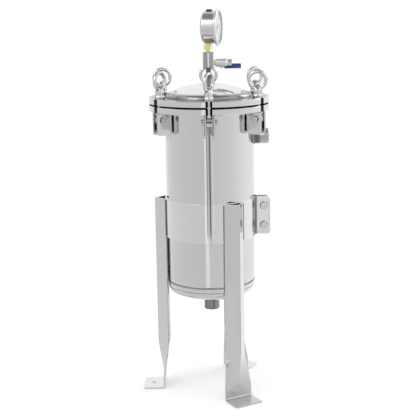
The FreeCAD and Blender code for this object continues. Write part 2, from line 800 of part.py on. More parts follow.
def make_plug():
    """Rubber filling plug in the top of the case."""
    top = gauge_z + gauge_case_radius
    edge = top + plug_height - plug_lip
    cap = turned(outline((0, top - plug_lip), (plug_radius, top - plug_lip), (plug_radius, edge),
                         (plug_radius - plug_lip, top + plug_height), (0, top + plug_height)))
    shank = rod(plug_radius - plug_lip - screw_fit, plug_shank, Z * (top - plug_shank))
    saddle = rod(gauge_case_radius, 4 * plug_radius, FreeCAD.Vector(-2 * plug_radius, 0, gauge_z), X)
    plug = cap.cut(saddle).fuse(shank).removeSplitter()
    plug.translate(X * plug_offset)
    return placed(plug, gauge_azimuth)


def valve_placed(shape):
    """Moves a piece drawn about the ball's centre, with its stem up +Z, to the vent valve's place."""
    out = shape.copy()
    out.rotate(ORIGIN, X, -90 - stem_tilt)
    out.translate(FreeCAD.Vector(ball_x, 0, valve_z))
    return out


def make_valve_body():
    """Mini ball valve: male nipple, round body, gland, and a hexagon end with a female port."""
    start = body_start - ball_x
    end = start + valve_length
    ease = valve_ease
    shoulder = end - valve_hex_length
    corner = valve_hex / sqrt(3)
    body = turned(outline((0, start), (valve_radius - ease, start), (valve_radius, start + ease),
                          (valve_radius, shoulder - valve_taper), (valve_hex / 2, shoulder), (0, shoulder)))
    crown = turned(outline((0, shoulder), (valve_hex / 2, shoulder), (corner, shoulder + ease),
                           (corner, end - ease), (valve_hex / 2, end), (0, end)))
    tip = start - valve_nipple - valve_thread_length
    neck = rod(valve_thread_radius, start - tip, Z * tip)
    wrench = hexagon(valve_hex, valve_hex_length, Z * shoulder).common(crown)
    body = body.fuse([neck, wrench]).removeSplitter()
    body = body.cut(rod(valve_bore, end - tip, Z * tip))
    body = body.cut(rod(valve_port_radius, valve_port_depth, Z * (end - valve_port_depth)))
    body.rotate(ORIGIN, Y, 90)
    body = body.fuse(rod(gland_radius, gland_height, ORIGIN, Z)).removeSplitter()
    body = body.cut(rod(stem_radius + stem_play, gland_height, ORIGIN, Z))
    body = body.cut(Part.makeSphere(ball_radius + ball_play))
    return valve_placed(body)


def make_valve_ball():
    """Ball with its bore along the body, the valve open."""
    half = sqrt(ball_radius ** 2 - valve_bore ** 2)
    ball = turned(outline((valve_bore, -half), ((ball_radius, 0), (valve_bore, half))))
    ball.rotate(ORIGIN, Y, 90)
    return valve_placed(ball)


def lever_seat():
    return gland_height + lever_play


def make_valve_stem():
    """Stem from the ball's top through the gland and the lever."""
    high = lever_seat() + lever_thick + lever_nut_thick + stem_spare
    stem = rod(stem_radius, high, ORIGIN, Z)
    return valve_placed(stem.cut(Part.makeSphere(ball_radius)))


def make_valve_lever():
    """Pressed strip, round at the stem."""
    low = lever_seat()
    half = lever_width / 2
    strip = block((0, -half, low), (lever_reach, half, low + lever_thick))
    lever = strip.fuse(rod(half, lever_thick, Z * low)).removeSplitter()
    return lever.cut(rod(stem_radius, lever_thick, Z * low))


def make_valve_grip(lever):
    """Dipped sleeve over the lever's handle."""
    low = lever_seat() - grip_thick
    half = lever_width / 2 + grip_thick
    high = low + lever_thick + 2 * grip_thick
    sleeve = block((grip_start, -half, low), (lever_reach + grip_thick, half, high))
    rims = [edge for edge in sleeve.Edges if edge.BoundBox.XLength > grip_thick]
    tips = [edge for edge in sleeve.Edges if edge.BoundBox.XMin > lever_reach]
    ends = [edge for edge in tips if edge.BoundBox.ZLength > grip_thick]
    sleeve = sleeve.makeFillet(0.9 * grip_thick, rims + ends)
    return sleeve.cut(lever)


def make_lever_nut():
    base = lever_seat() + lever_thick
    nut = hexagon(lever_nut_flats, lever_nut_thick, Z * base)
    return valve_placed(nut.cut(rod(stem_radius, lever_nut_thick, Z * base)))


os.makedirs("parts", exist_ok=True)

save("shell", make_shell())
save("bottom_head", make_head())
save("body_flange", make_body_flange())
save("inlet_socket", make_inlet())
save("outlet_socket", make_outlet())
save("lid_flange", flange(lid_low, dome_radius - dome_wall))
save("lid_dome", make_dome())
save("lid_gasket", make_gasket())

bracket = make_bracket()
pin = make_pin()
swing_bolt = make_swing_bolt()
washer = make_washer()
for number, azimuth in enumerate(bolt_azimuths, 1):
    save("bracket_%d" % number, placed(bracket, azimuth))
    save("swing_bolt_%d" % number, placed(swing_bolt, azimuth))
    save("washer_%d" % number, placed(washer, azimuth))
    facing = eye_facing[(number - 1) % len(eye_facing)]
    save("eye_nut_%d" % number, placed(make_eye_nut(facing - azimuth - 90), azimuth))
save("hinge_pins", *[placed(pin, azimuth) for azimuth in bolt_azimuths])

save("clamp_band", make_band())
bolts = [make_band_bolt(height) for height in band_bolt_heights()]
for height in band_bolt_heights():
    bolts += make_band_washers(height)
save("band_bolts", *bolts)
save("band_nuts", *[make_band_nut(height) for height in band_bolt_heights()])
leg = make_leg()
for number, azimuth in enumerate(leg_azimuths, 1):
    save("leg_%d" % number, placed(leg, azimuth))

save("basket_seat", make_seat())
save("strainer_basket", make_basket())
save("filter_bag", make_bag())
save("bag_ring", make_bag_ring())

save("lid_port", make_port())
save("port_nipple", make_nipple())
save("adapter_block", make_adapter())
save("gauge_stem", make_stem())
save("gauge_case", make_case())
save("gauge_movement", make_movement())
save("gauge_dial", make_dial())
save("gauge_pointer", make_pointer())
save("gauge_window", make_window())
save("gauge_bezel", make_bezel())
save("gauge_plug", make_plug())

save("valve_body", make_valve_body())
save("valve_ball", make_valve_ball())
save("valve_stem", make_valve_stem())
valve_lever = make_valve_lever()
save("valve_lever", valve_placed(valve_lever))
save("valve_grip", valve_placed(make_valve_grip(valve_lever)))
save("lever_nut", make_lever_nut())
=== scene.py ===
"""A bag filter housing in polished stainless steel: how each of its pieces looks.

Lengths are metres, +Z is up, the feet stand on z = 0 and the vessel's axis is the Z axis.
"""
import bmesh
import bpy
import json
from math import atan2, cos, pi, radians, sin, sqrt
from mathutils import Matrix, Vector


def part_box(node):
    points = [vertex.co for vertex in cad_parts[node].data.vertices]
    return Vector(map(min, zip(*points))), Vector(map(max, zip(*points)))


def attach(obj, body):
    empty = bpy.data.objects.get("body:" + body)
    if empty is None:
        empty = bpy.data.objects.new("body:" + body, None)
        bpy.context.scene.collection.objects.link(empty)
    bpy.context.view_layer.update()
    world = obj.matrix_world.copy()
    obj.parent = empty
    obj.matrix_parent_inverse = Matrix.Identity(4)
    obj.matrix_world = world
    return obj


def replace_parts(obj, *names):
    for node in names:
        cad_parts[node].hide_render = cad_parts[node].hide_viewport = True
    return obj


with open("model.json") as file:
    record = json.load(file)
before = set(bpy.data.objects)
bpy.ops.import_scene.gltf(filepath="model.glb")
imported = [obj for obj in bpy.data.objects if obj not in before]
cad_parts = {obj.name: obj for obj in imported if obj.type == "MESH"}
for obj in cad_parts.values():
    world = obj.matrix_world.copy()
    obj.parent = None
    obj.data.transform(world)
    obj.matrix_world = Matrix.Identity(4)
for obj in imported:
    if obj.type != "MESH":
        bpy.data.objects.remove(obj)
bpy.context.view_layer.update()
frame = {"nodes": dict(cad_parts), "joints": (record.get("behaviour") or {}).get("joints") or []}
nodes = frame["nodes"]
joints = {joint["name"]: joint for joint in frame["joints"]}

# Camera: a long lens a little above the lid, looking slightly down and rolled by a hair, as the
# housing was photographed for a catalogue.
camera_place = Vector((0.0, -2.43478, 0.96462))
camera_pitch = 0.2019
camera_yaw = -0.0026
camera_roll = 0.0159
camera_lens = 85.37
camera_sensor = 36.0


def placed(name, data):
    """A new object in the scene."""
    thing = bpy.data.objects.new(name, data)
    bpy.context.scene.collection.objects.link(thing)
    return thing


forward = Vector((sin(camera_yaw) * cos(camera_pitch), cos(camera_yaw) * cos(camera_pitch),
                  -sin(camera_pitch)))
level = Vector((cos(camera_yaw), -sin(camera_yaw), 0.0))
down = forward.cross(level)
right = cos(camera_roll) * level + sin(camera_roll) * down
up = sin(camera_roll) * level - cos(camera_roll) * down
camera_data = bpy.data.cameras.new("camera")
camera_data.sensor_width = camera_sensor
camera_data.lens = camera_lens
camera = placed("camera", camera_data)
camera.matrix_world = Matrix((right, up, -forward)).transposed().to_4x4()
camera.location = camera_place
bpy.context.scene.camera = camera
bpy.context.scene.view_settings.view_transform = "Standard"

# Room: a white cyclorama, which polished steel mirrors. Its walls are a little grey in front and
# to the left. Softboxes hang high up, round a wide dark hatch a little before the ceiling's middle.
wall_stops = ((0.00, 0.93), (0.09, 0.95), (0.12, 0.86), (0.20, 0.78), (0.31, 0.735), (0.45, 0.705),
              (0.51, 0.72), (0.556, 0.75), (0.667, 0.83), (0.75, 0.95), (0.83, 1.04), (0.92, 1.02),
              (1.00, 0.93))
height_stops = ((0.0, 0.90), (0.33, 0.96), (0.48, 0.95), (0.58, 1.08), (0.70, 1.3), (0.80, 1.5),
                (0.89, 1.5), (0.912, 0.5), (1.0, 0.42))
hatch_lean = radians(-5)
brightest = 1.08
soft_light = 0.86
WHITE = (1.0, 1.0, 1.0)
MIX_SHARE, MIX_FIRST, MIX_SECOND, MIX_RESULT = 0, 6, 7, 2


def grey(brightness):
    """A neutral colour."""
    return (brightness, brightness, brightness)


def maths(tree, operation, first, second=None, third=None):
    """A Math node. Each operand is a number or the output of another node."""
    node = tree.nodes.new("ShaderNodeMath")
    node.operation = operation
    for slot, value in zip(node.inputs, (first, second, third)):
        if isinstance(value, (int, float)):
            slot.default_value = value
        elif value is not None:
            tree.links.new(value, slot)
    return node.outputs[0]


def blend(tree, share, first, second):
    """The first colour where the share is 0 and the second where it is 1. Each is plain or an output."""
    mix = tree.nodes.new("ShaderNodeMix")
    mix.data_type = "RGBA"
    for slot, value in zip((MIX_SHARE, MIX_FIRST, MIX_SECOND), (share, first, second)):
        if isinstance(value, tuple):
            mix.inputs[slot].default_value = (*value, 1.0)
        else:
            tree.links.new(value, mix.inputs[slot])
    return mix.outputs[MIX_RESULT]


def graded(tree, value, stops):
    """Greys by a value from 0 to 1, with one stop for each pair of value and brightness."""
    node = tree.nodes.new("ShaderNodeValToRGB")
    elements = node.color_ramp.elements
    elements[0].position, elements[1].position = stops[0][0], stops[-1][0]
    elements[0].color = (*grey(stops[0][1]), 1.0)
    elements[1].color = (*grey(stops[-1][1]), 1.0)
    for place, brightness in stops[1:-1]:
        elements.new(place).color = (*grey(brightness), 1.0)
    tree.links.new(value, node.inputs[0])
    return node.outputs[0]


def axes(tree, coordinate="Object"):
    """X, Y and Z of a place on a piece or, for Generated in the world, of the way a ray leaves."""
    split = tree.nodes.new("ShaderNodeSeparateXYZ")
    tree.links.new(tree.nodes.new("ShaderNodeTexCoord").outputs[coordinate], split.inputs[0])
    return [split.outputs[axis] for axis in "XYZ"]


def walls(tree, x, y):
    """The brightness of the walls by the heading from the middle of the room."""
    turn = maths(tree, "ARCTAN2", x, maths(tree, "MULTIPLY", y, -1.0))
    return graded(tree, maths(tree, "MULTIPLY_ADD", turn, 0.5 / pi, 0.5), wall_stops)


def rays(tree):
    """Whether a ray comes from the camera, and whether it comes from polished steel or glass."""
    path = tree.nodes.new("ShaderNodeLightPath")
    mirror = maths(tree, "ADD", path.outputs["Is Glossy Ray"], path.outputs["Is Transmission Ray"])
    return path.outputs["Is Camera Ray"], mirror


world = bpy.data.worlds.new("studio")
bpy.context.scene.world = world
world.use_nodes = True
room = world.node_tree
room.nodes.clear()
x, y, z = axes(room, "Generated")
leaning = maths(room, "MULTIPLY_ADD", y, 0.5 * sin(hatch_lean), 0.5)
leaning = maths(room, "MULTIPLY_ADD", z, 0.5 * cos(hatch_lean), leaning)
mirrored = maths(room, "MULTIPLY", walls(room, x, y), graded(room, leaning, height_stops))
mirrored = maths(room, "MINIMUM", mirrored, brightest)
from_camera, from_mirror = rays(room)
glow = room.nodes.new("ShaderNodeBackground")
room.links.new(blend(room, from_camera, blend(room, from_mirror, grey(soft_light), mirrored), WHITE),
               glow.inputs["Color"])
room.links.new(glow.outputs[0], room.nodes.new("ShaderNodeOutputWorld").inputs[0])

# Studio front: between the two front softboxes the dark room and the camera show as thin upright
# lines, which run down the middle of the shell. Only rays off steel or through glass see this strip.
strip_reach = 2.3
strip_left, strip_right = -0.70, 0.34
strip_low, strip_high = -1.4, 2.6
strip_stops = ((0.00, 0.66), (0.13, 0.70), (0.15, 0.98), (0.31, 1.02), (0.335, 0.85), (0.355, 0.14),
               (0.395, 0.16), (0.42, 0.62), (0.50, 0.66), (0.56, 0.50), (0.605, 0.42), (0.63, 0.12),
               (0.72, 0.14), (0.75, 0.55), (0.84, 0.70), (0.90, 0.82), (1.00, 0.84))
strip_low_stops = ((0.00, 0.70), (0.13, 0.72), (0.16, 0.90), (0.30, 0.98), (0.44, 0.98), (0.50, 0.80),
                   (0.60, 0.72), (1.00, 0.72))
strip_change = -0.115


def painted(name):
    """A new material and its node tree."""
    made = bpy.data.materials.new(name)
    made.use_nodes = True
    return made, made.node_tree


strip = bmesh.new()
corners = [strip.verts.new((x, -strip_reach, z)) for x, z in (
    (strip_left, strip_low), (strip_right, strip_low), (strip_right, strip_high), (strip_left, strip_high))]
strip.faces.new(corners)
strip_mesh = bpy.data.meshes.new("studio_front")
strip.to_mesh(strip_mesh)
strip.free()
studio_front = placed("studio_front", strip_mesh)
studio_front.visible_camera = False
studio_front.visible_diffuse = False
studio_front.visible_shadow = False
gap, tree = painted("studio_gap")
tree.nodes.clear()
x, y, z = axes(tree)
strip_width = strip_right - strip_left
across = maths(tree, "MULTIPLY_ADD", x, 1.0 / strip_width, -strip_left / strip_width)
glow = tree.nodes.new("ShaderNodeEmission")
tree.links.new(blend(tree, maths(tree, "LESS_THAN", z, strip_change), graded(tree, across, strip_stops),
                     graded(tree, across, strip_low_stops)), glow.inputs["Color"])
tree.links.new(glow.outputs[0], tree.nodes.new("ShaderNodeOutputMaterial").inputs[0])
strip_mesh.materials.append(gap)


def softbox(name, place, aim, size, power):
    """A square area lamp aimed at a point."""
    lamp = bpy.data.lights.new(name, "AREA")
    lamp.shape = "SQUARE"
    lamp.size = size
    lamp.energy = power
    thing = placed(name, lamp)
    thing.location = place
    thing.rotation_mode = "QUATERNION"
    thing.rotation_quaternion = (Vector(aim) - Vector(place)).to_track_quat("-Z", "Y")


softbox("key_lamp", place=(-1.6, -1.5, 2.4), aim=(0, 0, 0.5), size=1.4, power=9.0)
softbox("rim_lamp", place=(1.9, 1.2, 1.8), aim=(0, 0, 0.6), size=1.2, power=7.0)

# Floor: the pale table that the feet stand on, a round top that fades into the white of the room.
# It keeps the soft shadow under the feet. Polished steel shows its far part as grey as the walls.
table_radius = 1.1
table_drop = 0.0003
table_white = 0.93
table_glow = 0.2
white_start = 0.55
grey_start, grey_full = 0.05, 0.22


def growing(tree, value, start, end):
    """A smooth step from 0 to 1 as a value goes from start to end."""
    step = tree.nodes.new("ShaderNodeMapRange")
    step.interpolation_type = "SMOOTHSTEP"
    step.inputs["From Min"].default_value = start
    step.inputs["From Max"].default_value = end
    tree.links.new(value, step.inputs["Value"])
    return step.outputs[0]


def off_axis(tree, x, y):
    """How far a place lies from the vessel's axis."""
    return maths(tree, "SQRT", maths(tree, "MULTIPLY_ADD", x, x, maths(tree, "MULTIPLY", y, y)))


table_top = bmesh.new()
bmesh.ops.create_circle(table_top, cap_ends=True, segments=96, radius=table_radius,
                        matrix=Matrix.Translation((0, 0, -table_drop)))
floor_mesh = bpy.data.meshes.new("floor")
table_top.to_mesh(floor_mesh)
table_top.free()
floor = placed("floor", floor_mesh)
paint, tree = painted("floor_paint")
tree.nodes.clear()
x, y = axes(tree)[:2]
from_camera, from_mirror = rays(tree)
far = off_axis(tree, x, y)
share = maths(tree, "MULTIPLY", growing(tree, far, grey_start, grey_full), from_mirror)
share = maths(tree, "MULTIPLY_ADD", growing(tree, far, white_start, table_radius), from_camera, share)
blank = tree.nodes.new("ShaderNodeEmission")
tree.links.new(blend(tree, from_camera, walls(tree, x, y), WHITE), blank.inputs["Color"])
matt = tree.nodes.new("ShaderNodeBsdfDiffuse")
matt.inputs["Color"].default_value = (*grey(table_white), 1.0)
shine = tree.nodes.new("ShaderNodeEmission")
tree.links.new(maths(tree, "MULTIPLY", from_camera, table_glow), shine.inputs["Strength"])
lit = tree.nodes.new("ShaderNodeAddShader")
tree.links.new(matt.outputs[0], lit.inputs[0])
tree.links.new(shine.outputs[0], lit.inputs[1])
both = tree.nodes.new("ShaderNodeMixShader")
tree.links.new(share, both.inputs[0])
tree.links.new(lit.outputs[0], both.inputs[1])
tree.links.new(blank.outputs[0], both.inputs[2])
tree.links.new(both.outputs[0], tree.nodes.new("ShaderNodeOutputMaterial").inputs[0])
floor_mesh.materials.append(paint)

# Shell: a tube rolled from 3 mm stainless sheet, with its long weld ground flush, and polished to
# a mirror. The buffing wheel leaves fine lines round the tube, faint waves, and hazy patches.
SIDE, BACK, UP = Vector((1, 0, 0)), Vector((0, 1, 0)), Vector((0, 0, 1))
AXIS_FOOT = (0.0, 0.0, 0.0)
STEEL = (0.76, 0.76, 0.765)
FLOAT, VECTOR, COLOUR = "NodeSocketFloat", "NodeSocketVector", "NodeSocketColor"
patch_scale = 26.0
patch_start, patch_gain = 0.45, 2.2
line_height = 0.02
haze_tone = 0.6
# Where the painted rim reflection on small metal pieces starts and is full, by how far the surface turns from
# the eye.
rim_reflection_start, rim_reflection_full = 0.35, 0.8


def finish_group(name, sockets_in, sockets_out):
    """An empty node group with the named inputs and outputs, and its two end nodes."""
    group = bpy.data.node_groups.new(name, "ShaderNodeTree")
    for label, kind, value in sockets_in:
        group.interface.new_socket(name=label, in_out="INPUT", socket_type=kind).default_value = value
    for label, kind in sockets_out:
        group.interface.new_socket(name=label, in_out="OUTPUT", socket_type=kind)
    return group, group.nodes.new("NodeGroupInput"), group.nodes.new("NodeGroupOutput")


def noise(tree, vector, scale, detail=2.0, rough=0.5):
    """Noise from 0 to 1. The scale is a number or the output of another node."""
    node = tree.nodes.new("ShaderNodeTexNoise")
    node.inputs["Detail"].default_value = detail
    node.inputs["Roughness"].default_value = rough
    if isinstance(scale, float):
        node.inputs["Scale"].default_value = scale
    else:
        tree.links.new(scale, node.inputs["Scale"])
    tree.links.new(vector, node.inputs["Vector"])
    return node.outputs["Fac"]


polish_group, polish_in, polish_out = finish_group(
    "buffed_polish",
    (("Lines Along", VECTOR, (1.0, 1.0, 1.0)), ("Place", VECTOR, (0.0, 0.0, 0.0)), ("Haze", FLOAT, 0.05),
     ("Base Roughness", FLOAT, 0.1), ("Wave", FLOAT, 9.0), ("Scratch", FLOAT, 0.06)),
    (("Roughness", FLOAT), ("Height", FLOAT), ("Tone", FLOAT)))
fine = noise(polish_group, polish_in.outputs["Lines Along"], 1.0, detail=3.0, rough=0.6)
waves = noise(polish_group, polish_in.outputs["Place"], polish_in.outputs["Wave"], detail=1.0, rough=0.4)
patches = noise(polish_group, polish_in.outputs["Place"], patch_scale, detail=4.0, rough=0.62)
cloudy = maths(polish_group, "MULTIPLY", maths(polish_group, "SUBTRACT", patches, patch_start), patch_gain)
hazed = maths(polish_group, "MULTIPLY", maths(polish_group, "MAXIMUM", cloudy, 0.0),
              polish_in.outputs["Haze"])
lined = maths(polish_group, "MULTIPLY", fine, polish_in.outputs["Scratch"])
rough = maths(polish_group, "ADD", maths(polish_group, "ADD", hazed, lined),
              polish_in.outputs["Base Roughness"])
polish_group.links.new(rough, polish_out.inputs["Roughness"])
polish_group.links.new(maths(polish_group, "MULTIPLY_ADD", fine, line_height, waves),
                       polish_out.inputs["Height"])
tone = maths(polish_group, "SUBTRACT", 1.0, maths(polish_group, "MULTIPLY_ADD", hazed, haze_tone, lined))
polish_group.links.new(tone, polish_out.inputs["Tone"])


def vector_maths(tree, operation, first, second=None):
    """A Vector Math node on the output of another node and, for most operations, a plain vector."""
    node = tree.nodes.new("ShaderNodeVectorMath")
    node.operation = operation
    tree.links.new(first, node.inputs[0])
    if second is not None:
        node.inputs[1].default_value = second
    return node.outputs


def turned_lines(tree, place, middle, axis, pitch):
    """Coordinates that change along the axis and outwards from it, so that noise on them makes
    the rings a lathe or a wheel leaves. The pitch is rings to the metre."""
    local = vector_maths(tree, "SUBTRACT", place, middle)["Vector"]
    along = vector_maths(tree, "DOT_PRODUCT", local, axis)["Value"]
    out = vector_maths(tree, "CROSS_PRODUCT", local, axis)["Vector"]
    reach = vector_maths(tree, "LENGTH", out)["Value"]
    joined = tree.nodes.new("ShaderNodeCombineXYZ")
    for slot, distance in zip(joined.inputs, (along, reach)):
        tree.links.new(maths(tree, "MULTIPLY", distance, pitch), slot)
    return joined.outputs[0]


def grouped(tree, group, place, settings):
    """A finish group put into a material at a place on the piece, with settings of its own."""
    finish = tree.nodes.new("ShaderNodeGroup")
    finish.node_tree = group
    tree.links.new(place, finish.inputs["Place"])
    for label, value in settings.items():
        finish.inputs[label].default_value = value
    return finish


def dented(tree, shader, height, depth):
    """Shows a pattern of heights as dents in a skin."""
    bump = tree.nodes.new("ShaderNodeBump")
    bump.inputs["Distance"].default_value = depth
    tree.links.new(height, bump.inputs["Height"])
    tree.links.new(bump.outputs[0], shader.inputs["Normal"])


def metal(name, colour, roughness, lines, haze=0.05, wave=9.0, bump=0.0003, scratch=0.06, rim=None):
    """Polished metal. The lines are a stretch along drawn or belted work, or a middle, an axis and a pitch for
    turned work. The rim is a painted reflection: a darker colour where a small piece turns away from the eye,
    standing for the dark surroundings that it would mirror there."""
    made, tree = painted(name)
    shader = tree.nodes["Principled BSDF"]
    shader.inputs["Metallic"].default_value = 1.0
    place = tree.nodes.new("ShaderNodeTexCoord").outputs["Object"]
    if isinstance(lines[0], float):
        run = vector_maths(tree, "MULTIPLY", place, lines)["Vector"]
    else:
        run = turned_lines(tree, place, *lines)
    polish = grouped(tree, polish_group, place,
                     {"Haze": haze, "Base Roughness": roughness, "Wave": wave, "Scratch": scratch})
    tree.links.new(run, polish.inputs["Lines Along"])
    hue = blend(tree, polish.outputs["Tone"], grey(0.0), colour)
    # Painted reflection: the colour darkens towards the rim colour where the surface turns from the eye.
    if rim is not None:
        slant = tree.nodes.new("ShaderNodeLayerWeight").outputs["Facing"]
        hue = blend(tree, growing(tree, slant, rim_reflection_start, rim_reflection_full), hue, rim)
    tree.links.new(hue, shader.inputs["Base Color"])
    tree.links.new(polish.outputs["Roughness"], shader.inputs["Roughness"])
    dented(tree, shader, polish.outputs["Height"], bump)
    return made


def dress(material, *names):
    """Gives CAD nodes a material."""
    for name in names:
        nodes[name].data.materials.clear()
        nodes[name].data.materials.append(material)


def greatest(node, direction):
    """How far a node reaches along a direction."""
    return max(corner.co.dot(direction) for corner in nodes[node].data.vertices)


shell_radius = greatest("shell", BACK)
sheet_steel = metal("sheet_steel", STEEL, roughness=0.035, lines=(AXIS_FOOT, UP, 900.0), haze=0.03, wave=7.0,
                    bump=0.00012)
dress(sheet_steel, "shell")

# Weld beads: laid by hand round every joint and then brushed, so that each is a low bead with
# close, even ripples and a duller skin than the polished sheet beside it.
ripple_swell = (0.82, 0.92, 1.0, 0.92)
ring_step, ripple_length = 0.0021, 0.0021
bead_sides = 6
weld_bite, on_the_ring = 0.0002, 1e-7
below_flange, above_lid, above_dome = 0.0010, 0.0008, 0.0006
bead_steel = metal("bead_steel", (0.36, 0.36, 0.365), roughness=0.16, lines=(260.0, 260.0, 260.0), haze=0.12,
                   wave=300.0, bump=0.00012, rim=grey(0.06))


def piece(name, shape, material, body="root", smooth=28.0, outward=True):
    """Finishes a bmesh as an object of its own that rides on a body."""
    bmesh.ops.remove_doubles(shape, verts=shape.verts, dist=1e-6)
    if outward:
        bmesh.ops.recalc_face_normals(shape, faces=shape.faces)
    for face in shape.faces:
        face.smooth = True
    for edge in shape.edges:
        edge.smooth = edge.calc_face_angle(pi) < radians(smooth)
    mesh = bpy.data.meshes.new(name)
    shape.to_mesh(mesh)
    shape.free()
    if "custom_normal" in mesh.attributes:
        mesh.attributes.remove(mesh.attributes["custom_normal"])
    mesh.materials.append(material)
    thing = placed(name, mesh)
    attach(thing, body)
    return thing


def ripple(step):
    """How far a bead swells at a step of its way, every fourth step alike."""
    return ripple_swell[step % len(ripple_swell)]


def ring_bead(shape, radius, height, width, rise):
    """A rippled bead round the Z axis: half an ellipse spun a full turn."""
    turns = [side * pi / bead_sides for side in range(bead_sides + 1)]
    section = [(width / 2 * cos(turn), rise * sin(turn)) for turn in turns]
    sides = [shape.verts.new((radius + high, 0, height + along)) for along, high in section]
    edges = [shape.edges.new(pair) for pair in zip(sides[:-1], sides[1:])]
    count = len(ripple_swell) * int(2 * pi * radius / ring_step / len(ripple_swell))
    bmesh.ops.spin(shape, geom=sides + edges, cent=(0, 0, 0), axis=UP, angle=2 * pi, steps=count,
                   use_merge=True)
    for corner in shape.verts:
        flat = Vector((corner.co.x, corner.co.y, 0))
        over = flat.length - radius
        if over > on_the_ring:
            step = round(atan2(corner.co.y, corner.co.x) / 2 / pi * count)
            corner.co.xy = flat.normalized().xy * (radius + over * ripple(step))
    return shape


def straight_bead(shape, start, end, radius):
    """A rippled bead from point to point: a circle drawn out in short steps, both ends closed."""
    way = end - start
    count = len(ripple_swell) * int(way.length / ripple_length)
    before = len(shape.verts)
    turned_to = Matrix.Translation(start) @ way.to_track_quat("Z", "Y").to_matrix().to_4x4()
    rim = bmesh.ops.create_circle(shape, segments=10, radius=radius, matrix=turned_to)["verts"]
    edges = list({edge for corner in rim for edge in corner.link_edges})
    bmesh.ops.spin(shape, geom=rim + edges, cent=(0, 0, 0), axis=UP, angle=0, dvec=way / count, steps=count)
    bmesh.ops.holes_fill(shape, edges=[edge for edge in shape.edges if edge.is_boundary], sides=0)
    for corner in shape.verts[before:]:
        along = (corner.co - start).dot(way) / way.length_squared
        middle = start + way * along
        corner.co = middle + (corner.co - middle) * ripple(round(along * count))


def weld(name, shape):
    """Finishes a shape made of beads."""
    piece(name, shape, bead_steel, outward=False)


def ring_weld(name, node, height, width, rise, bite=weld_bite):
    """A bead round a node that stands on the axis, bitten a little into its side."""
    weld(name, ring_bead(bmesh.new(), greatest(node, BACK) - bite, height, width, rise))


seam_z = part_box("shell")[0].z
flange_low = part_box("body_flange")[0].z
lid_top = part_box("lid_flange")[1].z
dome_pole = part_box("lid_dome")[1].z
ring_weld("seam_weld", "shell", seam_z, width=0.0055, rise=0.0007)
ring_weld("flange_weld", "shell", flange_low - below_flange, width=0.0042, rise=0.0016)
ring_weld("dome_weld", "lid_dome", lid_top + above_lid, width=0.0040, rise=0.0014, bite=0.0003)
ring_weld("port_weld", "lid_port", dome_pole + above_dome, width=0.0036, rise=0.0013)

# Bottom head and lid dome: pressed from the same sheet and polished on a wheel that leaves rings.
# The foot of the dome is duller next to its weld and is painted darker there as shade, where it meets the
# flange. The bottom has a painted dark line where its skirt ends, a painted reflection of the bend.
# The basket and its seat inside are of the same sheet, polished the same way.
dull_shade_top, dome_fade = lid_top + 0.0095, 0.003
skirt_end = seam_z - 0.0125
skirt_line, skirt_fade = 0.0004, 0.0013
below_head = 0.0002
head_steel, dome_steel, bottom_steel = (
    metal(name, STEEL, roughness=0.05, lines=(AXIS_FOOT, UP, 700.0), haze=0.05, wave=16.0, bump=0.00025)
    for name in ("head_steel", "dome_steel", "bottom_steel"))


def shaded(material, mask_of, shade, dull=0.0):
    """Paints a metal darker or lighter, and dulls it, where a mask made from the place on the piece says so.
    Most masks paint in shade, reflections and highlights.
    """
    tree = material.node_tree
    shader = tree.nodes["Principled BSDF"]
    mask = mask_of(tree, *axes(tree))
    hue = shader.inputs["Base Color"].links[0].from_socket
    tree.links.new(blend(tree, mask, hue, shade), shader.inputs["Base Color"])
    if dull:
        rough = shader.inputs["Roughness"].links[0].from_socket
        tree.links.new(maths(tree, "MULTIPLY_ADD", mask, dull, rough), shader.inputs["Roughness"])


def apart(tree, value, middle):
    """How far a value is from a middle, to either side."""
    return maths(tree, "ABSOLUTE", maths(tree, "SUBTRACT", value, middle))


def at_dome_foot(tree, x, y, z):
    """The low edge of the dome, which the wheel can't reach for the weld, so it is dull; it is painted darker
    too, as shade where the dome meets the flange.
    """
    return growing(tree, z, dull_shade_top + dome_fade, dull_shade_top)


def at_skirt_end(tree, x, y, z):
    """The fine line where the straight skirt goes over into the dish, painted dark as a painted reflection of
    the bend.
    """
    return growing(tree, apart(tree, z, skirt_end), skirt_fade, skirt_line)


# Painted shade at the dome's foot, where it meets the flange.
shaded(dome_steel, at_dome_foot, grey(0.34), dull=0.08)
# A painted dark line, a painted reflection, where the skirt ends.
shaded(bottom_steel, at_skirt_end, grey(0.28))
dress(head_steel, "basket_seat", "strainer_basket")
dress(dome_steel, "lid_dome")
dress(bottom_steel, "bottom_head")
ring_weld("outlet_weld", "outlet_socket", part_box("bottom_head")[0].z - below_head, width=0.0044, rise=0.0018)

# Flanges: flat rings cut from plate, turned on their rims, with a slot for each swing bolt.
# Between the two faces and inside the slots, where no wheel reaches, the steel is dull, and it is painted dark
# there as the shadow in the gap round the gasket and in the slots. The lid's flat top is left as turned,
# without the mirror finish, and is painted darker.
joint_z = (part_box("lid_flange")[0].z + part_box("body_flange")[1].z) / 2
gap_shade_half = 0.0021
slot_half = 0.0078
slot_inner = 0.126
top_skin = 0.0001
plate_steel = metal("plate_steel", STEEL, roughness=0.06, lines=(AXIS_FOOT, UP, 1400.0), haze=0.05,
                    bump=0.00012)


def in_joint(tree, x, y, z):
    """The two faces that meet on the gasket, and the gap round it, where a shadow is painted."""
    return maths(tree, "LESS_THAN", apart(tree, z, joint_z), gap_shade_half)


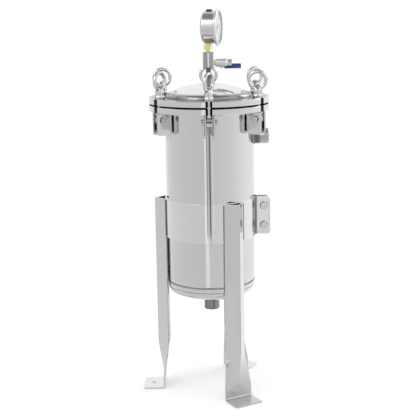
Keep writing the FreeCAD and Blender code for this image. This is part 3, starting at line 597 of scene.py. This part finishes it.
def in_slots(tree, x, y, z):
    """Within a slot's half width of the six lines from the axis to the bolts, outside the dome: the slots,
    where a shadow is painted.
    """
    reach = off_axis(tree, x, y)
    sixth = maths(tree, "WRAP", maths(tree, "ADD", maths(tree, "ARCTAN2", y, x), pi / 2), pi / 6, -pi / 6)
    aside = maths(tree, "ABSOLUTE", maths(tree, "MULTIPLY", reach, maths(tree, "SINE", sixth)))
    return maths(tree, "MULTIPLY", maths(tree, "LESS_THAN", aside, slot_half),
                 maths(tree, "GREATER_THAN", reach, slot_inner))


def on_top(tree, x, y, z):
    """The lid flange's upper face."""
    return maths(tree, "GREATER_THAN", z, lid_top - top_skin)


shaded(plate_steel, on_top, grey(0.40), dull=0.12)
# Painted shadow inside the slots and in the gap between the flanges.
shaded(plate_steel, in_slots, grey(0.11), dull=0.4)
shaded(plate_steel, in_joint, grey(0.035), dull=0.4)
dress(plate_steel, "body_flange", "lid_flange")

# Brackets: two ears and a web of 6 mm plate under each slot, which hold the bolt's hinge pin. They
# are sawn and filed, and each ear is welded to the underside of the body flange along its outside.
bracket_count = 6
bracket_ease = 0.0007
sharp_from = 35.0
weld_reach = 0.01
ear_bead = 0.0014
ear_inset, ear_outset = 0.002, 0.003
bracket_steel = metal("bracket_steel", STEEL, roughness=0.08, lines=(40.0, 40.0, 900.0), haze=0.08,
                      bump=0.0001, rim=grey(0.25))


def copied(node):
    """A node's mesh, merged, as a bmesh to work on."""
    shape = bmesh.new()
    shape.from_mesh(nodes[node].data)
    bmesh.ops.remove_doubles(shape, verts=shape.verts, dist=2e-6)
    return shape


def cut_level(shape, height, **options):
    """Cuts all of a shape at a height."""
    bmesh.ops.bisect_plane(shape, geom=shape.verts[:] + shape.edges[:] + shape.faces[:], dist=1e-6,
                           plane_co=(0, 0, height), plane_no=UP, **options)


def eased(node, width, material, body="root", parting=None):
    """Stands a copy in for a node, with its sharp edges eased as a file or a press leaves them and its
    flats kept flat. A ring of edges at the parting height keeps apart what is flat above it and what
    bends below."""
    shape = copied(node)
    if parting is not None:
        cut_level(shape, parting)
    sharp = [edge for edge in shape.edges
             if edge.is_manifold and edge.calc_face_angle(0.0) > radians(sharp_from)]
    bmesh.ops.bevel(shape, geom=sharp, offset=width, offset_type="OFFSET", segments=2, profile=0.5,
                    affect="EDGES", material=-1, clamp_overlap=False)
    thing = piece("eased_" + node, shape, material, body)
    flats = thing.modifiers.new("flats", "WEIGHTED_NORMAL")
    flats.mode = "FACE_AREA"
    flats.keep_sharp = True
    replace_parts(thing, node)


def numbered(stem, count):
    """The names of a set of like nodes."""
    return ["%s_%d" % (stem, number) for number in range(1, count + 1)]


def outwards(place):
    """The level direction from the axis to a place, and the one to its left."""
    outward = Vector((place.x, place.y, 0)).normalized()
    return outward, UP.cross(outward)


for name in numbered("bracket", bracket_count):
    eased(name, bracket_ease, bracket_steel)
bracket_welds = bmesh.new()
for number in range(1, bracket_count + 1):
    outward, aside = outwards(Vector(joints["bolt_%d_swing" % number]["pos_m"]))
    corners = [corner.co for corner in nodes["bracket_%d" % number].data.vertices]
    ears = [place for place in corners if place.z > flange_low - weld_reach]
    inner, outer = min(place.dot(outward) for place in ears), max(place.dot(outward) for place in ears)
    for side in (1, -1):
        face = aside * max(place.dot(aside) * side for place in ears) * side + UP * flange_low
        straight_bead(bracket_welds, face + outward * (inner + ear_inset),
                      face + outward * (outer - ear_outset), ear_bead)
weld("bracket_welds", bracket_welds)

# Legs: three lengths of stainless angle, welded to the clamp band at their tips. The lower end of each is
# pressed flat and bent out into a drilled foot. The front foot is painted darker and duller towards the floor,
# a painted reflection of the shade it stands in.
leg_count = 3
leg_ease = 0.0009
leg_bend_start = 0.118
parting_above_bend = 0.003
foot_shade_top, foot_shade_full = 0.13, -0.02
front_start, front_full = -0.06, -0.10
tip_inset = 0.003
tip_bead = 0.0013
leg_steel = metal("leg_steel", STEEL, roughness=0.07, lines=(60.0, 60.0, 3.0), haze=0.05, bump=0.00012)


def at_front_foot(tree, x, y, z):
    """The pressed end of the front leg, where a painted reflection of the shade it stands in goes."""
    return maths(tree, "MULTIPLY", growing(tree, z, foot_shade_top, foot_shade_full),
                 growing(tree, y, front_start, front_full))


# Painted reflection: the front foot darkens towards the floor.
shaded(leg_steel, at_front_foot, grey(0.6), dull=0.2)
for name in numbered("leg", leg_count):
    eased(name, leg_ease, leg_steel, parting=leg_bend_start + parting_above_bend)
band_low, band_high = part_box("clamp_band")[0].z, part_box("clamp_band")[1].z
leg_welds = bmesh.new()
for name in numbered("leg", leg_count):
    low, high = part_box(name)
    outward, aside = outwards((low + high) / 2)
    post = [corner.co for corner in nodes[name].data.vertices if corner.co.z > band_high - weld_reach]
    for side in (1, -1):
        tip = max(post, key=lambda place: side * place.dot(aside))
        straight_bead(leg_welds, Vector((tip.x, tip.y, band_low + tip_inset)),
                      Vector((tip.x, tip.y, min(band_high, high.z) - tip_inset)), tip_bead)
weld("leg_welds", leg_welds)

# Clamp band: a strap rolled from polished sheet that grips the shell and carries the legs. It is
# split at the right, where its ends turn out as ears, and two bolts with washers and nuts close it.
band_ease = 0.0005
band_bolt_ease = 0.0014
bend_start, bend_end = 0.104, 0.1165
bend_fade = 0.003
bend_reach = 0.046
bend_reach_fade = 0.006
band_steel = metal("band_steel", (0.84, 0.84, 0.845), roughness=0.045, lines=(AXIS_FOOT, UP, 900.0),
                   haze=0.04, bump=0.00012)
clamp_steel = metal("clamp_steel", grey(0.70), roughness=0.05, lines=(300.0, 300.0, 300.0), haze=0.06,
                    bump=0.00008, rim=grey(0.05))


def at_bend(tree, x, y, z):
    """The strap next to its ears, dull at the bend and painted dark there: a painted reflection of the bolts
    and painted shade beside the ears.
    """
    beside = maths(tree, "MULTIPLY", growing(tree, x, bend_start - bend_fade, bend_start),
                   maths(tree, "LESS_THAN", x, bend_end))
    near = growing(tree, maths(tree, "ABSOLUTE", y), bend_reach, bend_reach - bend_reach_fade)
    return maths(tree, "MULTIPLY", beside, near)


# Painted reflection and shade on the strap beside its ears.
shaded(band_steel, at_bend, grey(0.30), dull=0.1)
eased("clamp_band", band_ease, band_steel)
eased("band_bolts", band_bolt_ease, clamp_steel)
eased("band_nuts", band_bolt_ease, clamp_steel)

# Swing bolts: six polished M12 eye bolts, which turn on their hinge pins. The upper part of the
# shank is threaded, and a turned washer lies under each nut.
bolt_count = 6
shank_radius = 0.006
thread_pitch = 0.00175
thread_depth = 0.00095
thread_start = 0.7465
thread_runs_in, thread_runs_out = 0.0004, 0.0006
core_overlap = 0.001
bolt_steel = metal("bolt_steel", grey(0.72), roughness=0.07, lines=(300.0, 300.0, 300.0), haze=0.1,
                   bump=0.00008, rim=grey(0.10))
cast_steel = metal("cast_steel", grey(0.76), roughness=0.045, lines=(300.0, 300.0, 300.0), haze=0.06,
                   wave=70.0, bump=0.0002, rim=grey(0.04))


def screwed(shape, outline, low, pitch, turns, sides):
    """Screws one ridge's outline, as pairs of reach and share of the pitch, up round the Z axis."""
    start = [shape.verts.new((reach, 0, low + share * pitch)) for reach, share in outline]
    edges = [shape.edges.new(pair) for pair in zip(start[:-1], start[1:])]
    bmesh.ops.spin(shape, geom=start + edges, cent=(0, 0, 0), axis=UP, angle=2 * pi * turns,
                   dvec=(0, 0, pitch / sides), steps=sides * turns)


def male_thread(shape, radius, depth, pitch, low, high):
    """A thread round the Z axis from low to high."""
    root = radius - depth
    outline = ((root, 0.0), (root, 0.12), (radius, 0.44), (radius, 0.68), (root, 1.0))
    screwed(shape, outline, low, pitch, turns=int((high - low) / pitch) - 1, sides=24)
    bmesh.ops.remove_doubles(shape, verts=shape.verts, dist=1e-6)


def upright_core(shape, radius, x, y, low, high):
    """The plain bar inside a thread."""
    bmesh.ops.create_cone(shape, cap_ends=True, segments=32, radius1=radius, radius2=radius, depth=high - low,
                          matrix=Matrix.Translation((x, y, (low + high) / 2)))


for number in range(1, bolt_count + 1):
    node = "swing_bolt_%d" % number
    body = "swing_%d" % number
    pivot = Vector(joints["bolt_%d_swing" % number]["pos_m"])
    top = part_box(node)[1].z
    bolt = copied(node)
    cut_level(bolt, thread_start, clear_outer=True)
    bmesh.ops.contextual_create(bolt, geom=[edge for edge in bolt.edges if edge.is_boundary])
    upright_core(bolt, shank_radius - thread_depth, pivot.x, pivot.y, thread_start - core_overlap, top)
    screw = bmesh.new()
    male_thread(screw, shank_radius, thread_depth, thread_pitch, thread_start - thread_runs_in,
                top - thread_runs_out)
    bmesh.ops.translate(screw, verts=screw.verts, vec=(pivot.x, pivot.y, 0))
    bmesh.ops.recalc_face_normals(screw, faces=screw.faces)
    piece("thread_%d" % number, screw, bolt_steel, body=body, outward=False)
    threaded = piece("eye_bolt_%d" % number, bolt, cast_steel, body=body, outward=False)
    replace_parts(threaded, node)
dress(bolt_steel, *numbered("washer", bolt_count), "hinge_pins", "lever_nut", "valve_stem", "bag_ring")

# Eye nuts: a threaded boss that flares into a lifting ring, cast in one piece, then tumbled and
# polished, so every inside corner is rounded and the skin rolls a bit.
casting_grain = 0.0009
tumble_strength = 0.5
tumble_rounds = 8
for number in range(1, bolt_count + 1):
    node = "eye_nut_%d" % number
    shape = copied(node)
    mesh = bpy.data.meshes.new("cast_eye_%d" % number)
    shape.to_mesh(mesh)
    shape.free()
    nut = placed("cast_eye_%d" % number, mesh)
    skin = nut.modifiers.new("skin", "REMESH")
    skin.mode = "VOXEL"
    skin.voxel_size = casting_grain
    tumble = nut.modifiers.new("tumble", "SMOOTH")
    tumble.factor = tumble_strength
    tumble.iterations = tumble_rounds
    bpy.context.view_layer.update()
    cast = bpy.data.meshes.new_from_object(nut.evaluated_get(bpy.context.evaluated_depsgraph_get()))
    nut.modifiers.clear()
    nut.data = cast
    for face in cast.polygons:
        face.use_smooth = True
    cast.materials.clear()
    cast.materials.append(cast_steel)
    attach(nut, "nut_%d" % number)
    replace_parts(nut, node)

# Sockets and lid port: turned from bar, threaded inside, polished on the lathe and left with its fine rings.
# The inlet is darker next to its weld, partly with soot from the weld and partly with painted shade. A
# threaded nipple joins the port and the block.
socket_minor = 0.0153
socket_thread_length = 0.018
socket_thread_depth, socket_thread_pitch = 0.0007, 0.0023
socket_ease = 0.0015
nipple_thread_depth, nipple_thread_pitch = 0.0007, 0.00134
nipple_end = 0.0005
soot_shade_full, soot_shade_start = 0.119, 0.129
bore_skin = 0.0001
inlet_low, inlet_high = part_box("inlet_socket")
inlet_z = (inlet_low.z + inlet_high.z) / 2
inlet_radius = inlet_high.z - inlet_z
inlet_steel = metal("inlet_steel", grey(0.52), roughness=0.09, lines=((0, 0, inlet_z), SIDE, 2600.0),
                    haze=0.06, scratch=0.12)
outlet_steel = metal("outlet_steel", grey(0.30), roughness=0.08, lines=(AXIS_FOOT, UP, 2600.0), haze=0.08,
                     scratch=0.1)


def next_to_shell(tree, x, y, z):
    """The inner end of the inlet socket, darker with soot from its weld and with painted shade."""
    return growing(tree, x, soot_shade_start, soot_shade_full)


def female_thread(radius, depth, pitch, length, turn, place, sides=28):
    """Ridges inside a bore, drawn on the Z axis, turned about Y and put in their place."""
    wall, crest = radius + bore_skin, radius - depth
    outline = ((wall, 0.0), (wall, 0.14), (crest, 0.42), (crest, 0.58), (wall, 0.86), (wall, 1.0))
    shape = bmesh.new()
    screwed(shape, outline, 0.0, pitch, turns=int(length / pitch) - 1, sides=sides)
    bmesh.ops.rotate(shape, verts=shape.verts, cent=(0, 0, 0), matrix=Matrix.Rotation(turn, 3, "Y"))
    bmesh.ops.translate(shape, verts=shape.verts, vec=place)
    return shape


# Soot from the weld and painted shade at the inlet's inner end.
shaded(inlet_steel, next_to_shell, grey(0.15))
dress(inlet_steel, "inlet_socket")
dress(outlet_steel, "outlet_socket", "lid_port")
for name, material, turn, place in (
        ("inlet_thread", inlet_steel, -pi / 2, (inlet_high.x - socket_ease, 0, inlet_z)),
        ("outlet_thread", outlet_steel, 0.0, (0, 0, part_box("outlet_socket")[0].z + socket_ease))):
    ridges = female_thread(socket_minor, socket_thread_depth, socket_thread_pitch, socket_thread_length, turn,
                           place)
    piece(name, ridges, material, outward=False)
nipple_low, nipple_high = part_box("port_nipple")
nipple_radius = greatest("port_nipple", BACK)
nipple = bmesh.new()
upright_core(nipple, nipple_radius - nipple_thread_depth, 0, 0, nipple_low.z, nipple_high.z)
male_thread(nipple, nipple_radius, nipple_thread_depth, nipple_thread_pitch,
            nipple_low.z + nipple_end, nipple_high.z - nipple_end)
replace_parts(piece("threaded_nipple", nipple, outlet_steel, outward=False), "port_nipple")
saddle = ring_bead(bmesh.new(), inlet_radius - weld_bite, 0.0, width=0.0046, rise=0.0018)
bmesh.ops.rotate(saddle, verts=saddle.verts, cent=(0, 0, 0), matrix=Matrix.Rotation(pi / 2, 3, "Y"))
bmesh.ops.translate(saddle, verts=saddle.verts, vec=(0, 0, inlet_z))
saddle_lift = 0.0006
for corner in saddle.verts:
    corner.co.x += sqrt(shell_radius ** 2 - corner.co.y ** 2) + saddle_lift
weld("inlet_weld", saddle)

# Adapter block: a length of hexagon bar, sawn and drilled, with the drawn bar's dull skin.
# Its corners are painted bright, as painted highlights. The gauge screws into its top and the vent valve into
# its side.
block_ease = 0.0008
corner_reach = 0.0149
corner_fade = 0.0004
adapter_steel = metal("adapter_steel", grey(0.46), roughness=0.2, lines=(1500.0, 1500.0, 60.0), haze=0.1,
                      scratch=0.18)


def on_corners(tree, x, y, z):
    """The six corners of the bar, where highlights are painted."""
    return growing(tree, off_axis(tree, x, y), corner_reach, corner_reach + corner_fade)


# Painted highlights along the bar's corners.
shaded(adapter_steel, on_corners, grey(0.98))
eased("adapter_block", block_ease, adapter_steel)

# Gauge: a liquid-filled gauge with a drawn steel case, brushed round, and a polished bezel. It
# stands on a brass stem with a hexagon, and its movement inside is of brass too.
facing = -Vector(joints["pointer_sweep"]["axis"])
gauge_centre = Vector(joints["pointer_sweep"]["pos_m"])
case_lit, case_shaded = 0.017, 0.024
case_steel = metal("case_steel", grey(0.78), roughness=0.15, lines=(gauge_centre, facing, 2200.0), haze=0.06,
                   scratch=0.16, rim=grey(0.2))
bezel_steel = metal("bezel_steel", grey(0.84), roughness=0.28, lines=(gauge_centre, facing, 900.0), haze=0.05)
brass = metal("brass", (1.0, 0.90, 0.50), roughness=0.34, lines=(300.0, 300.0, 900.0), haze=0.02,
              scratch=0.03, rim=(1.0, 0.78, 0.32))


def above_and_below(tree, x, y, z):
    """The case's crown and belly, painted darker as shade where its drawn side turns from the light."""
    return growing(tree, apart(tree, z, gauge_centre.z), case_lit, case_shaded)


# Painted shade on the case's crown and belly.
shaded(case_steel, above_and_below, grey(0.52))
dress(case_steel, "gauge_case")
dress(bezel_steel, "gauge_bezel")
dress(brass, "gauge_stem", "gauge_movement")

# Rubber parts: the gasket between the flanges and the plug in the gauge's filling hole. Both are
# moulded, with a fine speckle in tone, shine and height.
cloud_scale = 60.0
grain_share = 0.6
coat_roughness = 0.08
speckle_group, speckle_in, speckle_out = finish_group(
    "speckle",
    (("Place", VECTOR, (0.0, 0.0, 0.0)), ("Grain", FLOAT, 900.0), ("Dark", COLOUR, (0.0, 0.0, 0.0, 1.0)),
     ("Light", COLOUR, (1.0, 1.0, 1.0, 1.0)), ("Base Roughness", FLOAT, 0.5), ("Spread", FLOAT, 0.1)),
    (("Color", COLOUR), ("Roughness", FLOAT), ("Height", FLOAT)))
grain = noise(speckle_group, speckle_in.outputs["Place"], speckle_in.outputs["Grain"], detail=3.0, rough=0.6)
cloud = noise(speckle_group, speckle_in.outputs["Place"], cloud_scale)
cloud = maths(speckle_group, "MULTIPLY", cloud, 1.0 - grain_share)
mixed = maths(speckle_group, "MULTIPLY_ADD", grain, grain_share, cloud)
uneven = maths(speckle_group, "MULTIPLY_ADD", mixed, speckle_in.outputs["Spread"],
               speckle_in.outputs["Base Roughness"])
between = blend(speckle_group, mixed, speckle_in.outputs["Dark"], speckle_in.outputs["Light"])
for output, label in ((between, "Color"), (uneven, "Roughness"), (grain, "Height")):
    speckle_group.links.new(output, speckle_out.inputs[label])


def speckled(name, dark, light, roughness, grain_scale, bump, spread=0.1, coat=0.0, glow=0.0):
    """A soft or painted skin between two tones. The glow stands for light that comes through glass."""
    made, tree = painted(name)
    shader = tree.nodes["Principled BSDF"]
    shader.inputs["Coat Weight"].default_value = coat
    shader.inputs["Coat Roughness"].default_value = coat_roughness
    skin = grouped(tree, speckle_group, tree.nodes.new("ShaderNodeTexCoord").outputs["Object"],
                   {"Grain": grain_scale, "Dark": (*dark, 1.0), "Light": (*light, 1.0),
                    "Base Roughness": roughness, "Spread": spread})
    tree.links.new(skin.outputs["Color"], shader.inputs["Base Color"])
    tree.links.new(skin.outputs["Roughness"], shader.inputs["Roughness"])
    if glow:
        tree.links.new(skin.outputs["Color"], shader.inputs["Emission Color"])
        shader.inputs["Emission Strength"].default_value = glow
    dented(tree, shader, skin.outputs["Height"], bump)
    return made


rubber = speckled("rubber", grey(0.008), (0.030, 0.030, 0.031), roughness=0.5, grain_scale=1400.0,
                  bump=0.00006)
dress(rubber, "lid_gasket", "gauge_plug")

# Dial: white lacquered plate, printed in black with a scale from 0 to 10 over 270 degrees. The
# pointer is stamped and lacquered black. The window is plain glass, a little wavy.
dial_lift = 0.00006
scale_start, scale_sweep = radians(225), radians(270)
tick_out = 0.0335
tick_count, ticks_to_a_long_one = 50, 5
long_tick, short_tick = (0.0056, 0.0012), (0.0030, 0.0005)
arc_width = 0.0005
arc_steps = 100
figure_last, figure_step = 10, 2
figure_size = 0.0078
figure_bold = 0.00012
figure_out = 0.0238
# The dial glows with painted light, standing for the light that reaches it through the window.
dial_white = speckled("dial_white", (0.80, 0.80, 0.79), (0.90, 0.90, 0.89), roughness=0.35, grain_scale=700.0,
                      bump=0.00002, glow=0.36)
print_black = speckled("print_black", grey(0.012), grey(0.03), roughness=0.4, grain_scale=2000.0,
                       bump=0.00001)
dress(dial_white, "gauge_dial")
dress(print_black, "gauge_pointer")


def heading(share):
    """The direction on the dial at a share of the scale."""
    angle = scale_start - scale_sweep * share
    return Vector((cos(angle), sin(angle), 0))


scale = bmesh.new()
for tick in range(tick_count + 1):
    along = heading(tick / tick_count)
    length, width = long_tick if tick % ticks_to_a_long_one == 0 else short_tick
    aside = Vector((-along.y, along.x, 0)) * width / 2
    outer, inner = along * tick_out, along * (tick_out - length)
    sides = (outer + aside, inner + aside, inner - aside, outer - aside)
    scale.faces.new([scale.verts.new(corner) for corner in sides])
for step in range(arc_steps):
    start, end = heading(step / arc_steps), heading((step + 1) / arc_steps)
    sides = (start * tick_out, start * (tick_out - arc_width), end * (tick_out - arc_width), end * tick_out)
    scale.faces.new([scale.verts.new(corner) for corner in sides])
for figure in range(0, figure_last + 1, figure_step):
    words = bpy.data.curves.new("figure_%d" % figure, "FONT")
    words.body = str(figure)
    words.size = figure_size
    words.offset = figure_bold
    words.align_x = "CENTER"
    words.align_y = "CENTER"
    words.resolution_u = 3
    writing = placed("figure_%d" % figure, words)
    bpy.context.view_layer.update()
    outlines = bpy.data.meshes.new_from_object(writing.evaluated_get(bpy.context.evaluated_depsgraph_get()))
    bpy.data.objects.remove(writing)
    outlines.transform(Matrix.Translation(heading(figure / figure_last) * figure_out))
    scale.from_mesh(outlines)
    bpy.data.meshes.remove(outlines)
for face in scale.faces:
    if face.normal.z < 0:
        face.normal_flip()
dial_right = Vector((-facing.y, facing.x, 0.0)).normalized()
dial_front = greatest("gauge_dial", facing) + dial_lift
bmesh.ops.rotate(scale, verts=scale.verts, cent=(0, 0, 0),
                 matrix=Matrix((dial_right, UP, facing)).transposed())
bmesh.ops.translate(scale, verts=scale.verts,
                    vec=gauge_centre + facing * (dial_front - gauge_centre.dot(facing)))
piece("dial_print", scale, print_black, outward=False)

glass_smear_scale, glass_smear = 90.0, 0.04
glass_wave_scale, glass_wave = 25.0, 0.00004
window_glass, tree = painted("window_glass")
shader = tree.nodes["Principled BSDF"]
shader.inputs["Base Color"].default_value = (0.97, 0.98, 0.975, 1.0)
shader.inputs["Transmission Weight"].default_value = 1.0
shader.inputs["IOR"].default_value = 1.5
place = tree.nodes.new("ShaderNodeTexCoord").outputs["Object"]
smear = maths(tree, "MULTIPLY", noise(tree, place, glass_smear_scale, detail=3.0), glass_smear)
tree.links.new(smear, shader.inputs["Roughness"])
dented(tree, shader, noise(tree, place, glass_wave_scale, detail=1.0), glass_wave)
dress(window_glass, "gauge_window")

# Filter bag: needled felt, sewn up along one side, with the ring of round bar in its hem. The
# felt hangs in shallow folds and is fuzzy up close.
bag_wall = 0.0016
bag_round = 0.024
bag_round_steps, bag_side_steps, steps_to_a_fold = 8, 12, 8
fold_depth = 0.0016
fold_count = 14
fold_sway, fold_sway_rate = 2.0, 9.0
fold_start = 0.06
stitch_pitch = 0.0035
stitch_size = (0.0006, 0.0006, 0.0024)
stitch_inset = 0.0021
seam_bottom, seam_margin = 0.03, 0.05
felt = speckled("felt", (0.62, 0.60, 0.55), (0.86, 0.85, 0.80), roughness=0.9, grain_scale=2600.0,
                bump=0.0004, spread=0.08)
bag_low, bag_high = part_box("filter_bag")
bag_outer = greatest("filter_bag", BACK)


def bag_corner(radius):
    """The quarter round between the bag's floor and its side, from the floor up."""
    turns = [step * pi / 2 / bag_round_steps for step in range(bag_round_steps + 1)]
    return [(bag_outer - bag_round + radius * sin(turn), bag_low.z + bag_round - radius * cos(turn))
            for turn in turns]


side_foot = bag_low.z + bag_round
side_heights = [side_foot + (bag_high.z - side_foot) * step / bag_side_steps
                for step in range(1, bag_side_steps + 1)]
outline = [(0.0, bag_low.z)] + bag_corner(bag_round) + [(bag_outer, height) for height in side_heights]
outline += [(bag_outer - bag_wall, height) for height in reversed(side_heights)]
outline += bag_corner(bag_round - bag_wall)[::-1] + [(0.0, bag_low.z + bag_wall)]
bag = bmesh.new()
line = [bag.verts.new((reach, 0, height)) for reach, height in outline]
edges = [bag.edges.new(pair) for pair in zip(line[:-1], line[1:])]
bmesh.ops.spin(bag, geom=line + edges, cent=(0, 0, 0), axis=UP, angle=2 * pi,
               steps=steps_to_a_fold * fold_count, use_merge=True)
for corner in bag.verts:
    flat = Vector((corner.co.x, corner.co.y, 0))
    turn = atan2(corner.co.y, corner.co.x)
    hang = min(1.0, max(0.0, (bag_high.z - corner.co.z) / fold_start))
    share = hang * min(1.0, flat.length / bag_outer) ** 2
    fold = 0.5 - 0.5 * cos(fold_count * turn + fold_sway * sin(fold_sway_rate * corner.co.z))
    corner.co.xy = flat.xy * (1.0 - share * fold * fold_depth / bag_outer)
sewn_bag = piece("sewn_bag", bag, felt, smooth=40.0)
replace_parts(sewn_bag, "filter_bag")
stitches = bmesh.new()
for stitch in range(int((bag_high.z - bag_low.z - seam_margin) / stitch_pitch)):
    middle = (0, bag_outer - stitch_inset, bag_low.z + seam_bottom + stitch * stitch_pitch)
    bmesh.ops.create_cube(stitches, size=1.0,
                          matrix=Matrix.Translation(middle) @ Matrix.Diagonal((*stitch_size, 1.0)))
piece("bag_stitches", stitches, felt)

# Vent valve: a miniature ball valve, plated and polished, which lets the air out as the housing
# fills. A flat lever turns its ball through a stem, and the lever's grip is dipped in blue vinyl.
grip_ease = 0.0024
vent_radius = 0.0058
vent_thread_depth, vent_thread_pitch = 0.0005, 0.0012
vent_thread_length = 0.0075
vent_ease = 0.0004
valve_steel = metal("valve_steel", (0.95, 0.945, 0.93), roughness=0.26, lines=(400.0, 400.0, 400.0),
                    haze=0.03, bump=0.00004, rim=(0.12, 0.12, 0.11))
vinyl = speckled("vinyl", (0.012, 0.045, 0.16), (0.022, 0.080, 0.26), roughness=0.22, grain_scale=500.0,
                 bump=0.00005, coat=0.6)
dress(valve_steel, "valve_body", "valve_ball", "valve_lever")
eased("valve_grip", grip_ease, vinyl, body=joints["valve_quarter_turn"]["child"])
vent_place = (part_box("valve_body")[1].x - vent_ease, 0, joints["valve_quarter_turn"]["pos_m"][2])
vent_thread = female_thread(vent_radius, vent_thread_depth, vent_thread_pitch, vent_thread_length, -pi / 2,
                            vent_place, sides=20)
piece("vent_thread", vent_thread, valve_steel, outward=False)
